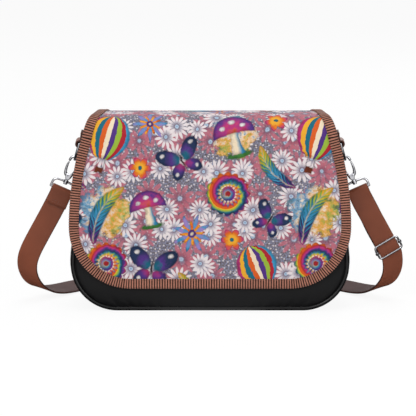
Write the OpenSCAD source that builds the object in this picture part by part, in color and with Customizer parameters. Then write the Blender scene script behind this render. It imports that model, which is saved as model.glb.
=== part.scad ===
// Shoulder bag with a curved flap, a webbing binding and a clip-on adjustable strap.
// X runs to the right, Y to the back and Z up. The origin is the middle of the flat base.

/* [Bag body] */
// Width of the body at its widest
body_w = 280; // [240:1:320]
// Depth of the body at its base
base_depth = 90; // [80:1:110]
// Height of the mouth above the base
mouth_h = 172; // [166:1:174]
// Radius of the lower corners of the front and back
corner_r = 47; // [35:1:55]
// Angle by which the sides slope in
side_slope = 6.3; // [5:0.1:7]
// Angle by which the front and the back lean in
panel_lean = 4.8; // [3.5:0.1:5.5]
// Thickness of the padded front and back panels
panel_t = 2.4; // [1.8:0.1:3]
// Thickness of the gusset
gusset_t = 1.8; // [1.2:0.1:2]
// Radius of the piping
piping_r = 2.1; // [1.6:0.1:2.4]
// Thickness of the lining
lining_t = 0.8; // [0.5:0.1:1]
// Room for padding between the gusset and the lining
padding_gap = 2.3; // [2.2:0.1:3]
// Width of the strip round the mouth
rim_w = 3.4; // [3:0.1:4]
// Height of the strip round the mouth
rim_h = 2.6; // [2:0.1:3]

/* [Base board and inner pocket] */
// Thickness of the base board
board_t = 2; // [1.5:0.1:2.1]
// Width of the base board
board_w = 176; // [150:1:180]
// Depth of the base board
board_depth = 74; // [60:1:76]
// Length of the pocket's zip
zip_l = 132; // [100:1:150]
// Height of the zip above the base
zip_h = 138; // [130:1:142]
// Height of the slot in the lining round the zip
zip_slot_h = 11; // [10.5:0.1:12]
// Width of the whole zip tape
zip_tape_w = 24; // [22:1:28]
// Thickness of the zip tape
zip_tape_t = 0.8; // [0.6:0.1:0.9]
// Distance from one zip tooth to the next
tooth_pitch = 3; // [2.5:0.1:4]
// Length of a tooth along the zip
tooth_l = 1.4; // [1:0.1:1.8]
// Width of a tooth across the zip
tooth_w = 1.8; // [1.5:0.1:2]
// Thickness of a tooth
tooth_t = 1.2; // [1:0.1:1.3]
// Length of the zip slider
slider_l = 11; // [9:0.5:12]
// Width of the zip slider
slider_w = 8.8; // [8:0.1:9]
// Length of the zip pull
pull_l = 24; // [18:1:30]
// Width of the zip pull
pull_w = 6.4; // [6:0.1:8]
// Depth of the pocket bag below the zip
pocket_drop = 96; // [70:1:100]
// Width of the pocket bag
pocket_w = 156; // [154:1:170]
// Thickness of the pocket bag
pocket_t = 1.4; // [1:0.1:1.6]
// Room for the pocket between the lining and the back panel
pocket_gap = 3.4; // [3.3:0.1:4]

/* [Flap] */
// Widest width of the flap
flap_w = 283; // [276:1:290]
// Height of the flap's lower edge above the base
flap_bottom_h = 22.5; // [15:0.5:30]
// Radius of the flap's lower corners
flap_corner_r = 62; // [50:1:66]
// Radius of the flap's curved sides
flap_side_r = 310; // [280:1:400]
// Height of the flap's two fold lines above the mouth
fold_rise = 3.4; // [3.4:0.1:6]
// Radius of the flap's two bends over the top
bend_r = 20; // [17:0.5:21]
// Thickness of the printed cover of the flap
cover_t = 1.6; // [1.2:0.1:2]
// Thickness of the flap's lining
flap_lining_t = 0.8; // [0.6:0.1:1]
// Distance from the front panel to the flap
flap_stand = 3; // [2.9:0.1:3.6]
// Width of the webbing binding
binding_w = 10; // [8:0.5:12]
// Thickness of the webbing binding
binding_t = 1; // [0.8:0.1:1.1]
// Half width of the flap at the start of its flat top
top_front_half = 117; // [112:1:120]
// Half width of the flap at the end of its flat top
top_back_half = 110; // [106:1:114]
// Half width of the flap at the back seam
seam_half = 105; // [100:1:108]
// Height of the tail that is sewn to the back panel
tail_h = 30; // [24:1:36]
// Height of the snap above the base
snap_h = 62; // [50:1:80]
// Radius of the snap's two discs
snap_r = 9; // [8:0.5:10]
// Radius of the snap's stud
snap_stud_r = 2.2; // [1.8:0.1:2.6]

/* [Rings and tabs] */
// Width of the tabs that hold the rings
tab_w = 22; // [20:0.5:24]
// Thickness of the tab leather
tab_t = 1.9; // [1.6:0.1:2]
// Radius of the hole through the rolled tab
tab_bore_r = 2.3; // [2.1:0.1:2.5]
// Distance of the rolled tabs below the mouth
tab_drop = 8; // [7:0.5:14]
// Length of a tab above its roll
tab_l = 12; // [10:0.5:13]
// Radius of the D-ring wire
ring_wire_r = 1.5; // [1.3:0.1:1.6]
// Drop of the D-ring from its bar to its bow
ring_drop = 17.8; // [16.5:0.1:19]
// Angle by which the D-rings hang outwards
ring_tilt = 16; // [12:1:18]

/* [Snap hooks] */
// Angle by which the hooks and the strap hang outwards
clip_tilt = 24; // [20:1:26]
// Radius of the hook's crown
crown_r = 5.2; // [5.1:0.1:5.6]
// Radius of the hook's wire
hook_wire_r = 1.4; // [1.2:0.05:1.5]
// Length of the hook below the middle of its crown
hook_drop = 20.3; // [19:0.1:21]
// Thickness of the hook's body
hook_body_t = 5.4; // [5:0.1:6]
// Thickness of the gate
gate_t = 2.8; // [2.4:0.1:3]
// Radius of the gate's pin
gate_pin_r = 0.7; // [0.6:0.05:0.8]
// Radius of the swivel post
post_r = 1.3; // [1.1:0.05:1.4]
// Radius of the swivel boss on the eye
boss_r = 2.6; // [2.4:0.1:3]
// Height of the swivel boss on the eye
boss_h = 3; // [2.6:0.1:3.2]
// Radius of the eye's wire
eye_wire_r = 1.2; // [1:0.05:1.3]
// Distance from the middle of the crown to the eye's bar
eye_bar_drop = 32; // [31.5:0.1:34]

/* [Strap] */
// Width of the strap
strap_w = 22; // [20:0.5:23]
// Thickness of the strap
strap_t = 2; // [1.6:0.1:2.2]
// Distance that the strap reaches out from the middle
strap_reach = 187.3; // [182:0.1:195]
// Distance that the strap lies behind the middle
strap_back = 98.5; // [94:0.5:110]
// Height of the strap's lowest centre line above the surface
strap_lie_h = 4.3; // [4.3:0.1:6]
// Length of the stitched end of the strap
strap_tab_l = 24; // [18:0.5:28]
// Radius of the adjuster's wire
adjuster_wire_r = 1.1; // [0.9:0.05:1.2]
// Height of the adjuster's frame
adjuster_h = 16; // [14:0.5:18]
// Corner radius of the adjuster's frame
adjuster_corner_r = 3.2; // [2.6:0.1:4]
// Radius of the adjuster's bar
adjuster_bar_r = 1.2; // [1:0.05:1.3]
// Distance of the adjuster above the lower end of the strap's straight run
adjuster_rise = 3; // [2.8:0.1:8]

/* [Hidden] */
$fn = 72;

// One overrun serves all cuts
over = 1;
// Gap between sewn pieces that lie on each other
sewn_gap = 0.1;
// Gap between pieces that move past each other
run_gap = 0.3;
// Radial clearance of a pin that turns in a hole
pin_gap = 0.05;
// How far a joint between two rods stands proud of them
joint_rise = 0.05;

// Places on the leaning panels
fold_h = mouth_h + fold_rise;
tab_h = mouth_h - tab_drop;
corner_x = body_w / 2 - corner_r;
panel_top = mouth_h / cos(panel_lean);
panel_inset = 2 * piping_r + sewn_gap;
flap_t = cover_t + flap_lining_t;
flap_base = panel_t + flap_stand;
flap_mid = flap_base + flap_t / 2;
tail_base = panel_t + binding_t + 2 * sewn_gap;
tail_mid = tail_base + flap_t / 2;
binding_wrap = binding_t + sewn_gap;
binding_nose_r = flap_t / 2 + binding_wrap;

// Distance of a leaning plane from the middle of the bag at a height
function plane_y(out, z) = base_depth / 2 - panel_t + out / cos(panel_lean) - z * tan(panel_lean);
// Distance along a leaning plane at a height
function plane_v(out, z) = (z - out * sin(panel_lean)) / cos(panel_lean);
// Half width of the body at a height, drawn in by an inset
function side_x(z, inset) = corner_x + (corner_r - inset) * cos(side_slope)
  - (z - corner_r - (corner_r - inset) * sin(side_slope)) * tan(side_slope);

front_fold_y = plane_y(flap_mid, fold_h);
back_fold_y = plane_y(tail_mid, fold_h);
bend_z = fold_h - bend_r * sin(panel_lean);
front_bend_y = front_fold_y - bend_r * cos(panel_lean);
back_bend_y = back_fold_y - bend_r * cos(panel_lean);
flap_wide_v = flap_bottom_h + flap_corner_r;
front_fold_v = plane_v(flap_mid, fold_h);
back_fold_v = plane_v(tail_mid, fold_h);
fold_half = flap_w / 2 - flap_side_r + sqrt(pow(flap_side_r, 2) - pow(front_fold_v - flap_wide_v, 2));

// Moves children from the XY plane onto the front panel, with their Z outwards
module on_front() {
  translate([0, -base_depth / 2 + panel_t, 0]) rotate([90 - panel_lean, 0, 0]) children();
}

// The same on the back panel
module on_back() {
  mirror([0, 1, 0]) on_front() children();
}

// Draws children on both sides of the middle, or on one side
module on_side(side) {
  if (side > 0) children(); else mirror([1, 0, 0]) children();
}

// Outline of the front and back of the body
module body_shape(inset, top) {
  reach = corner_r - inset;
  tangent = [corner_x + reach * cos(side_slope), corner_r + reach * sin(side_slope)];
  polygon([
    [-corner_x, inset], [corner_x, inset], [corner_x, corner_r], tangent,
    [side_x(top, inset), top], [-side_x(top, inset), top], [-tangent.x, tangent.y], [-corner_x, corner_r]
  ]);
  for (side = [-1, 1]) translate([side * corner_x, corner_r]) circle(r = reach, $fn = 144);
}

// Upright body of the outline, cut by the two leaning planes
module body_prism(inset, top, front_out, back_out) {
  intersection() {
    translate([0, base_depth, 0]) rotate([90, 0, 0])
      linear_extrude(2 * base_depth) body_shape(inset, top);
    rotate([90, 0, 90]) translate([0, 0, -body_w]) linear_extrude(2 * body_w)
      polygon([
        [-plane_y(front_out, 0), 0], [plane_y(back_out, 0), 0],
        [plane_y(back_out, top + over), top + over], [-plane_y(front_out, top + over), top + over]
      ]);
  }
}

module front_panel() {
  color("#262424") on_front() difference() {
    linear_extrude(panel_t) body_shape(panel_inset, panel_top);
    translate([0, plane_v(panel_t, snap_h), -over])
      cylinder(r = snap_stud_r + 2 * run_gap, h = panel_t + 2 * over);
  }
}

module back_panel() {
  color("#262424") on_back() linear_extrude(panel_t) body_shape(panel_inset, panel_top);
}

seam_out = panel_t / 2 - piping_r - sewn_gap;

module gusset() {
  color("#1f1e1e") difference() {
    body_prism(0, mouth_h, seam_out, seam_out);
    translate([0, base_depth, 0]) rotate([90, 0, 0])
      linear_extrude(2 * base_depth) body_shape(gusset_t, mouth_h + over);
  }
}

// Round cord along the outline, drawn with true arcs
module piping_line() {
  reach = corner_r - piping_r;
  arc_turn = 90 + side_slope;
  low = [corner_x + reach * cos(side_slope), corner_r + reach * sin(side_slope)];
  side_l = (panel_top - low.y) / cos(side_slope);
  translate([-corner_x, piping_r, 0]) rotate([0, 90, 0]) cylinder(r = piping_r, h = 2 * corner_x, $fn = 32);
  for (side = [-1, 1]) on_side(side) {
    translate([corner_x, corner_r, 0]) rotate([0, 0, -90])
      rotate_extrude(angle = arc_turn, $fn = 144) translate([reach, 0]) circle(r = piping_r, $fn = 32);
    translate([low.x, low.y, 0]) rotate([-90, 0, side_slope]) cylinder(r = piping_r, h = side_l, $fn = 32);
    translate([low.x, low.y, 0]) sphere(r = piping_r + joint_rise, $fn = 32);
  }
}

module front_piping() {
  color("#1a1919") on_front() translate([0, 0, panel_t / 2]) piping_line();
}

module back_piping() {
  color("#1a1919") on_back() translate([0, 0, panel_t / 2]) piping_line();
}

// Strip that caps the raw edges round the mouth
module mouth_rim() {
  rim_z = mouth_h + (panel_t / 2 + piping_r) * sin(panel_lean) + piping_r * sin(side_slope) + sewn_gap;
  half_w = side_x(rim_z + rim_h, 0);
  half_d = plane_y(panel_t, rim_z + rim_h);
  color("#1a1919") translate([0, 0, rim_z])
    linear_extrude(rim_h) difference() {
      square([2 * half_w, 2 * half_d], center = true);
      square([2 * (half_w - rim_w), 2 * (half_d - rim_w)], center = true);
    }
}

lining_inset = gusset_t + padding_gap;
lining_front_out = -2 * sewn_gap;
lining_back_out = -2 * sewn_gap - pocket_gap;
zip_face_out = lining_back_out - lining_t;

module lining() {
  color("#5a5560") difference() {
    body_prism(lining_inset, mouth_h, lining_front_out, lining_back_out);
    body_prism(lining_inset + lining_t, mouth_h + over, lining_front_out - lining_t, zip_face_out);
    on_zip() translate([0, 0, -lining_t / 2])
      cube([zip_l, zip_slot_h, lining_t + 2 * over], center = true);
  }
}

module base_board() {
  color("#8a7a66") translate([-board_w / 2, -board_depth / 2, gusset_t + sewn_gap])
    cube([board_w, board_depth, board_t]);
}

// Frame of the zip: its Z points into the bag from the face of the lining
module on_zip() {
  on_back() translate([0, plane_v(zip_face_out, zip_h), zip_face_out]) rotate([0, 180, 0]) children();
}

tooth_half_gap = run_gap + sewn_gap * 3;
tape_top = -lining_t - sewn_gap;
tooth_mid = tape_top - zip_tape_t / 2;

module zip_tape() {
  slot_h = 2 * (tooth_half_gap + tooth_w + pin_gap);
  color("#2c2c30") on_zip() translate([0, 0, tooth_mid]) difference() {
    cube([zip_l + 2 * slider_l, zip_tape_w, zip_tape_t], center = true);
    cube([zip_l, slot_h, zip_tape_t + 2 * over], center = true);
  }
}

module zip_teeth() {
  count = floor((zip_l - tooth_l) / tooth_pitch);
  color("#b9b9be") on_zip() for (i = [0:count], side = [-1, 1])
    translate([(i - count / 2) * tooth_pitch, side * (tooth_half_gap + tooth_w / 2), tooth_mid])
      cube([tooth_l, tooth_w, tooth_t], center = true);
}

slider_plate_t = 1;
slider_round_share = 0.58;
slider_rest_x = zip_l / 2 - slider_l / 2 - run_gap;
slider_top = tooth_mid + tooth_t / 2 + run_gap + slider_plate_t;
bridge_w = 1.6;
bridge_rise = 2;
pull_bar_r = 0.45;
pull_bar_z = slider_top + bridge_rise / 2;

module zip_slider() {
  gap_t = tooth_t + 2 * run_gap;
  leg_l = 1.2;
  leg_x = slider_l / 2 - 2 * leg_l;
  color("#c4c4c8") on_zip() translate([-slider_rest_x, 0, 0]) {
    for (plate_z = [slider_top - slider_plate_t / 2, slider_top - 3 * slider_plate_t / 2 - gap_t])
      translate([0, 0, plate_z]) intersection() {
        cube([slider_l, slider_w, slider_plate_t], center = true);
        cylinder(r = slider_l * slider_round_share, h = 2 * slider_plate_t, center = true);
      }
    translate([-slider_l / 2, -tooth_half_gap / 2, slider_top - slider_plate_t - gap_t - pin_gap])
      cube([slider_l / 3, tooth_half_gap, gap_t + 2 * pin_gap]);
    for (side = [-1, 1]) translate([side * leg_x - leg_l / 2, -bridge_w / 2, slider_top - pin_gap])
      cube([leg_l, bridge_w, bridge_rise + 2 * pin_gap]);
    translate([-leg_x - leg_l / 2, -bridge_w / 2, slider_top + bridge_rise])
      cube([2 * leg_x + leg_l, bridge_w, slider_plate_t]);
  }
}

module zip_pull() {
  arm_w = (pull_w - bridge_w) / 2 - run_gap;
  eye_l = slider_l / 2 + run_gap;
  color("#c4c4c8") on_zip() translate([-slider_rest_x, 0, pull_bar_z]) {
    rotate([90, 0, 0]) cylinder(r = pull_bar_r, h = pull_w, center = true);
    for (side = [-1, 1])
      translate([eye_l / 2, side * (pull_w - arm_w) / 2, 0])
        cube([eye_l, arm_w, 2 * pull_bar_r], center = true);
    translate([eye_l, -pull_w / 2, -pull_bar_r])
      cube([pull_l - eye_l - pull_w / 2, pull_w, 2 * pull_bar_r]);
    translate([pull_l - pull_w / 2, 0, -pull_bar_r]) cylinder(r = pull_w / 2, h = 2 * pull_bar_r);
  }
}

module pocket_bag() {
  color("#4a4650") on_back()
    translate([-pocket_w / 2, plane_v(0, zip_h) - zip_slot_h - pocket_drop, -pocket_t - 2 * sewn_gap])
      cube([pocket_w, pocket_drop, pocket_t]);
}

// Outline of the hanging part of the flap
module flap_shape(inset, top) {
  half = flap_w / 2;
  low_x = half - flap_corner_r;
  intersection() {
    side_arcs(half, inset);
    translate([-half, flap_wide_v]) square([2 * half, top - flap_wide_v]);
  }
  translate([-low_x, flap_bottom_h + inset]) square([2 * low_x, flap_corner_r - inset]);
  for (side = [-1, 1]) intersection() {
    translate([side * low_x, flap_wide_v]) circle(r = flap_corner_r - inset, $fn = 144);
    translate([-half, flap_bottom_h]) square([2 * half, flap_corner_r]);
  }
}

// Two large circles that meet over the flap give its curved sides
module side_arcs(half, inset) {
  intersection() {
    translate([half - flap_side_r, flap_wide_v]) circle(r = flap_side_r - inset, $fn = 288);
    translate([flap_side_r - half, flap_wide_v]) circle(r = flap_side_r - inset, $fn = 288);
  }
}

// A flat layer that ends in a half round nose on its fold line
module nosed(fold_v, mid, nose_r) {
  intersection() {
    children();
    union() {
      translate([-body_w, -fold_v, -body_w]) cube([2 * body_w, 2 * fold_v, 2 * body_w]);
      translate([-body_w, fold_v, mid]) rotate([0, 90, 0]) cylinder(r = nose_r, h = 2 * body_w, $fn = 48);
    }
  }
}

module flap_layer(inset, low, high, nose_r) {
  nosed(front_fold_v, flap_mid, nose_r) translate([0, 0, low])
    linear_extrude(high - low) flap_shape(inset, front_fold_v + nose_r + over);
}

module flap_cover() {
  color("#8f7f83") on_front()
    flap_layer(binding_wrap, flap_base + flap_lining_t, flap_base + flap_t, flap_t / 2);
}

module flap_lining() {
  color("#3a3a3e") on_front()
    flap_layer(binding_wrap, flap_base, flap_base + flap_lining_t, flap_t / 2);
}

module flap_binding() {
  low = flap_base - binding_wrap;
  high = flap_base + flap_t + binding_wrap;
  color("#74554f") on_front() difference() {
    flap_layer(0, low, high, binding_nose_r);
    translate([0, 0, low - over]) linear_extrude(high - low + 2 * over)
      flap_shape(binding_w, front_fold_v + body_w);
    translate([0, 0, flap_base - sewn_gap]) linear_extrude(flap_t + 2 * sewn_gap)
      flap_shape(binding_t, front_fold_v + body_w);
  }
}

// Part of the flap's section over the top, between two distances from its middle
module crown_section(in_t, out_t, fold_gap) {
  start = asin(fold_gap / (bend_r - in_t)) + panel_lean;
  big = 4 * bend_r;
  difference() {
    union() {
      translate([-front_bend_y, bend_z]) circle(r = bend_r + out_t);
      translate([back_bend_y, bend_z]) circle(r = bend_r + out_t);
      translate([-front_bend_y, bend_z]) square([front_bend_y + back_bend_y, bend_r + out_t]);
    }
    translate([-front_bend_y, bend_z]) circle(r = bend_r - in_t);
    translate([back_bend_y, bend_z]) circle(r = bend_r - in_t);
    translate([-front_bend_y, bend_z - over]) square([front_bend_y + back_bend_y, bend_r - in_t + over]);
    translate([-front_bend_y, bend_z]) rotate(180 - start) square([big, big]);
    translate([back_bend_y, bend_z]) rotate(start) mirror([0, 1]) square([big, big]);
    translate([-base_depth, bend_z - big]) square([2 * base_depth, big]);
  }
}

// The same section, drawn along X
module crown_body(in_t, out_t, fold_gap) {
  rotate([90, 0, 90]) translate([0, 0, -body_w / 2]) linear_extrude(body_w)
    crown_section(in_t, out_t, fold_gap);
}

// Outline of the flap's top, seen from above
module crown_plan(inset) {
  half = fold_half - inset;
  front_line = front_fold_y + bend_r;
  back_line = back_fold_y + bend_r;
  right = [
    [half, -front_line], [half, -front_fold_y], [top_front_half - inset, -front_bend_y],
    [top_back_half - inset, back_bend_y], [seam_half - inset, back_fold_y], [seam_half - inset, back_line]
  ];
  left = [for (i = [len(right) - 1:-1:0]) [-right[i].x, right[i].y]];
  linear_extrude(mouth_h + 2 * bend_r) polygon(concat(right, left));
}

// Room in the ends of the top for the edge of the binding that turns there
module fold_room(fold_y, half) {
  for (side = [-1, 1]) on_side(side)
    translate([half - binding_w - flap_t, fold_y, fold_h]) rotate([0, 90, 0])
      cylinder(r = binding_nose_r + run_gap, h = body_w, $fn = 48);
}

module crown_layer(inset, in_t, out_t) {
  difference() {
    intersection() {
      crown_body(in_t, out_t, flap_t / 2 + run_gap);
      crown_plan(inset);
    }
    fold_room(-front_fold_y, fold_half);
    fold_room(back_fold_y, seam_half);
  }
}

crown_seam = flap_t / 2 - flap_lining_t;

module crown_cover() {
  color("#8f7f83") crown_layer(binding_wrap, crown_seam, flap_t / 2);
}

module crown_lining() {
  color("#3a3a3e") crown_layer(binding_wrap, flap_t / 2, -crown_seam);
}

module crown_binding() {
  color("#74554f") difference() {
    intersection() {
      crown_body(binding_nose_r, binding_nose_r, binding_nose_r + run_gap);
      crown_plan(0);
    }
    crown_plan(binding_w);
    intersection() {
      crown_body(flap_t / 2 + sewn_gap, flap_t / 2 + sewn_gap, run_gap);
      crown_plan(binding_t);
    }
  }
}

// Outline of the part of the flap that is sewn to the back
module tail_shape(inset, top) {
  low = back_fold_v - tail_h + inset;
  half = seam_half - inset;
  round_r = binding_w - inset / 2;
  translate([-half, low + round_r]) square([2 * half, top - low - round_r]);
  translate([-half + round_r, low]) square([2 * (half - round_r), 2 * round_r]);
  for (side = [-1, 1]) translate([side * (half - round_r), low + round_r]) circle(r = round_r);
}

module tail_layer(inset, low, high, nose_r) {
  nosed(back_fold_v, tail_mid, nose_r) translate([0, 0, low])
    linear_extrude(high - low) tail_shape(inset, back_fold_v + nose_r + over);
}

module tail_cover() {
  color("#8f7f83") on_back() tail_layer(binding_wrap, tail_base, tail_base + flap_t, flap_t / 2);
}

module tail_binding() {
  low = tail_base - binding_wrap;
  high = tail_base + flap_t + binding_wrap;
  color("#74554f") on_back() difference() {
    tail_layer(0, low, high, binding_nose_r);
    translate([0, 0, low - over]) linear_extrude(high - low + 2 * over)
      tail_shape(binding_w, back_fold_v + body_w);
    translate([0, 0, tail_base - sewn_gap]) linear_extrude(flap_t + 2 * sewn_gap)
      tail_shape(binding_t, back_fold_v + body_w);
  }
}

socket_t = flap_stand / 2;
stud_disc_t = flap_stand - socket_t - run_gap - sewn_gap;

// Disc on the front panel that the stud drops into
module snap_socket() {
  color("#c9c9cc") on_front() translate([0, plane_v(panel_t, snap_h), panel_t + sewn_gap]) difference() {
    cylinder(r = snap_r, h = socket_t - sewn_gap);
    translate([0, 0, -over]) cylinder(r = snap_stud_r + run_gap + sewn_gap, h = socket_t + 2 * over);
    translate([0, 0, socket_t / 2]) difference() {
      cylinder(r = snap_r - socket_t, h = socket_t);
      translate([0, 0, -over]) cylinder(r = snap_r / 2, h = socket_t + 2 * over);
    }
  }
}

// Disc with its stud, under the flap
module snap_stud() {
  color("#c9c9cc") on_front() translate([0, plane_v(panel_t, snap_h), flap_base - stud_disc_t]) {
    cylinder(r = snap_r, h = stud_disc_t);
    translate([0, 0, -socket_t]) cylinder(r = snap_stud_r, h = socket_t + stud_disc_t / 2);
  }
}

// Middle of a tab's roll, and the places that hang from it
tab_out = tab_bore_r + tab_t + sewn_gap;
tab_x = side_x(tab_h, 0) + tab_out / cos(side_slope);
bow_x = tab_x + ring_drop * sin(ring_tilt);
bow_z = tab_h - ring_drop * cos(ring_tilt);
hook_x = bow_x;
hook_z = bow_z - (crown_r - hook_wire_r - ring_wire_r - run_gap);
swing_z = hook_z + crown_r;

// Leather folded round the ring's bar and sewn to the end of the gusset
module tab() {
  outer_r = tab_bore_r + tab_t;
  leg_out = 2 * tab_t + sewn_gap;
  translate([tab_x, 0, tab_h]) rotate([0, -side_slope, 0]) difference() {
    union() {
      rotate([90, 0, 0]) cylinder(r = outer_r, h = tab_w, center = true);
      translate([-outer_r, -tab_w / 2, 0]) cube([leg_out, tab_w, tab_l]);
    }
    rotate([90, 0, 0]) cylinder(r = tab_bore_r, h = tab_w + 2 * over, center = true);
    translate([-outer_r + tab_t, -tab_w / 2 - over, tab_bore_r + tab_t])
      cube([sewn_gap, tab_w + 2 * over, tab_l]);
  }
}

module left_tab() { color("#6e4236") on_side(-1) tab(); }
module right_tab() { color("#6e4236") on_side(1) tab(); }

// D-ring: a straight bar in the tab and a round bow below it
module d_ring() {
  bow_r = tab_w / 2 + run_gap + ring_wire_r;
  leg = ring_drop - bow_r;
  translate([tab_x, 0, tab_h]) rotate([0, -ring_tilt, 0]) {
    rotate([90, 0, 0]) cylinder(r = ring_wire_r, h = 2 * bow_r, center = true, $fn = 32);
    for (side = [-1, 1]) translate([0, side * bow_r, -leg]) {
      cylinder(r = ring_wire_r, h = leg, $fn = 32);
      translate([0, 0, leg]) sphere(r = ring_wire_r, $fn = 32);
    }
    translate([0, 0, -leg]) rotate([0, 90, 0]) rotate([0, 0, -90])
      rotate_extrude(angle = 180) translate([bow_r, 0]) circle(r = ring_wire_r, $fn = 32);
  }
}

module left_ring() { color("#d4d4d8") on_side(-1) d_ring(); }
module right_ring() { color("#d4d4d8") on_side(1) d_ring(); }

// Frame of a hook: the picture plane, with Y of the drawing up along the hook
module on_clip() {
  translate([hook_x, 0, hook_z]) rotate([90, 0, 0]) rotate([0, 0, clip_tilt]) children();
}

// Straight round rod between two points of a drawing plane
module rod(start, end, r) {
  run = end - start;
  translate([start.x, start.y, 0]) rotate([0, 0, atan2(run.y, run.x)]) rotate([0, 90, 0])
    cylinder(r = r, h = norm(run), $fn = 32);
}

// Places on a hook, as shares of its crown radius and of its drop
pivot_shares = [0.15, -0.78];
bend_shares = [-0.86, -0.42];
foot_shares = [-0.42, -0.78];
slot_shares = [-0.22, -0.92];
leaf_shares = [-0.22, -0.86];
leaf_share = 0.15;
post_top_share = -0.9;
hook_body_shares = [
  [-0.62, -0.86], [-0.34, -1], [0.34, -1], [0.42, -0.93], [0.66, -0.80],
  [0.55, -0.68], [-0.25, -0.68], [-0.55, -0.56], [-0.95, -0.60]
];
gate_shares = [
  [0.82, -0.28], [0.72, -0.50], [0.52, -0.68], [0.15, -0.70], [0.15, -0.87], [0.62, -0.90],
  [1.05, -0.76], [1.26, -0.52], [1.29, -0.30], [1.22, -0.10], [0.80, -0.10]
];
function hook_point(shares) = [shares.x * crown_r, shares.y * hook_drop];
function hook_points(shares) = [for (row = shares) hook_point(row)];
gate_pivot = hook_point(pivot_shares);
boss_top = -hook_drop - 2 * run_gap;
post_end = boss_top - boss_h - run_gap;
head_h = 1.2;
head_r = 2.1;

// Cast hook with its crown, its back limb, its body and the swivel post
module hook() {
  limb_bend = hook_point(bend_shares);
  slot = hook_point(slot_shares);
  on_clip() difference() {
    union() {
      rotate([0, 0, -6]) rotate_extrude(angle = 186) translate([crown_r, 0])
        circle(r = hook_wire_r, $fn = 32);
      rod([-crown_r, 0], limb_bend, hook_wire_r);
      for (place = [[-crown_r, 0], limb_bend])
        translate([place.x, place.y, 0]) sphere(r = hook_wire_r + joint_rise, $fn = 32);
      rod(limb_bend, hook_point(foot_shares), hook_wire_r);
      translate([0, 0, -hook_body_t / 2]) linear_extrude(hook_body_t) polygon(hook_points(hook_body_shares));
      translate([0, post_end - head_h, 0]) rotate([-90, 0, 0])
        cylinder(r = post_r, h = head_h - post_end + hook_drop * post_top_share);
      translate([0, post_end - head_h, 0]) rotate([-90, 0, 0]) cylinder(r = head_r, h = head_h);
    }
    translate([gate_pivot.x, gate_pivot.y, 0])
      cylinder(r = gate_pin_r + pin_gap / 2, h = hook_body_t + 2 * over, center = true);
    translate([slot.x, slot.y, -gate_t / 2 - sewn_gap])
      cube([3 * crown_r, hook_drop / 2, gate_t + 2 * sewn_gap]);
  }
}

module left_hook() { color("#d4d4d8") on_side(-1) hook(); }
module right_hook() { color("#d4d4d8") on_side(1) hook(); }

// Sprung gate on the outer side of the hook
module gate() {
  on_clip() difference() {
    translate([0, 0, -gate_t / 2]) linear_extrude(gate_t) {
      polygon(hook_points(gate_shares));
      translate(gate_pivot) circle(r = 2 * gate_pin_r);
    }
    translate([gate_pivot.x, gate_pivot.y, 0])
      cylinder(r = gate_pin_r + pin_gap, h = gate_t + 2 * over, center = true);
  }
}

module left_gate() { color("#d4d4d8") on_side(-1) gate(); }
module right_gate() { color("#d4d4d8") on_side(1) gate(); }

module gate_pin() {
  on_clip() translate([gate_pivot.x, gate_pivot.y, 0])
    cylinder(r = gate_pin_r, h = hook_body_t + 2 * run_gap, center = true);
}

module left_gate_pin() { color("#b0b0b4") on_side(-1) gate_pin(); }
module right_gate_pin() { color("#b0b0b4") on_side(1) gate_pin(); }

// Leaf spring in the slot of the hook's body, behind the gate
module gate_spring() {
  leaf_t = gate_t / 10;
  foot = hook_point(leaf_shares);
  on_clip() translate([foot.x + pin_gap, foot.y, -gate_t / 2])
    cube([leaf_t, leaf_share * hook_drop, gate_t]);
}

module left_gate_spring() { color("#8c8c90") on_side(-1) gate_spring(); }
module right_gate_spring() { color("#8c8c90") on_side(1) gate_spring(); }

eye_half = strap_w / 2 + run_gap + eye_wire_r;
eye_corner_r = 5.5;
eye_leg_l = 4;

// Swivel eye: a D of wire with a drilled boss at its top
module eye() {
  arc_y = -eye_bar_drop + eye_leg_l;
  arc_turn = 68;
  arc_mid = [eye_half - eye_corner_r, arc_y];
  arc_end = arc_mid + eye_corner_r * [cos(arc_turn), sin(arc_turn)];
  on_clip() difference() {
    union() {
      rod([-eye_half, -eye_bar_drop], [eye_half, -eye_bar_drop], eye_wire_r);
      for (side = [-1, 1]) on_side(side) {
        translate([eye_half, -eye_bar_drop, 0]) sphere(r = eye_wire_r, $fn = 32);
        rod([eye_half, -eye_bar_drop], [eye_half, arc_y], eye_wire_r);
        translate([arc_mid.x, arc_mid.y, 0]) rotate_extrude(angle = arc_turn)
          translate([eye_corner_r, 0]) circle(r = eye_wire_r, $fn = 32);
        rod(arc_end, [post_r + eye_wire_r, boss_top - boss_h / 2], eye_wire_r);
      }
      translate([0, boss_top - boss_h, 0]) rotate([-90, 0, 0]) cylinder(r = boss_r, h = boss_h);
    }
    translate([0, boss_top - boss_h - over, 0]) rotate([-90, 0, 0])
      cylinder(r = post_r + pin_gap, h = boss_h + 2 * over);
  }
}

module left_eye() { color("#d4d4d8") on_side(-1) eye(); }
module right_eye() { color("#d4d4d8") on_side(1) eye(); }

// Point in the hook's frame, with depth along Y, on the right or the left side
function clip_point(side, u, depth, v) = [
  side * (hook_x + u * cos(clip_tilt) - v * sin(clip_tilt)),
  depth,
  hook_z + u * sin(clip_tilt) + v * cos(clip_tilt)
];
function turned(side, around, rise) = [side * cos(around) * cos(rise), sin(around) * cos(rise), sin(rise)];

wrap_r = eye_wire_r + sewn_gap + strap_t / 2;
layer_y = strap_t / 2 + sewn_gap;
eye_bar_z = clip_point(1, 0, 0, -eye_bar_drop).z;

// Half turn of the strap round the eye's bar, from the front over the top to the back
function bar_turn(side) = [
  for (i = [0:8]) let (a = i * 22.5)
    [clip_point(side, 0, -wrap_r * cos(a), -eye_bar_drop + wrap_r * sin(a)), turned(side, 0, clip_tilt)]
];

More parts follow.
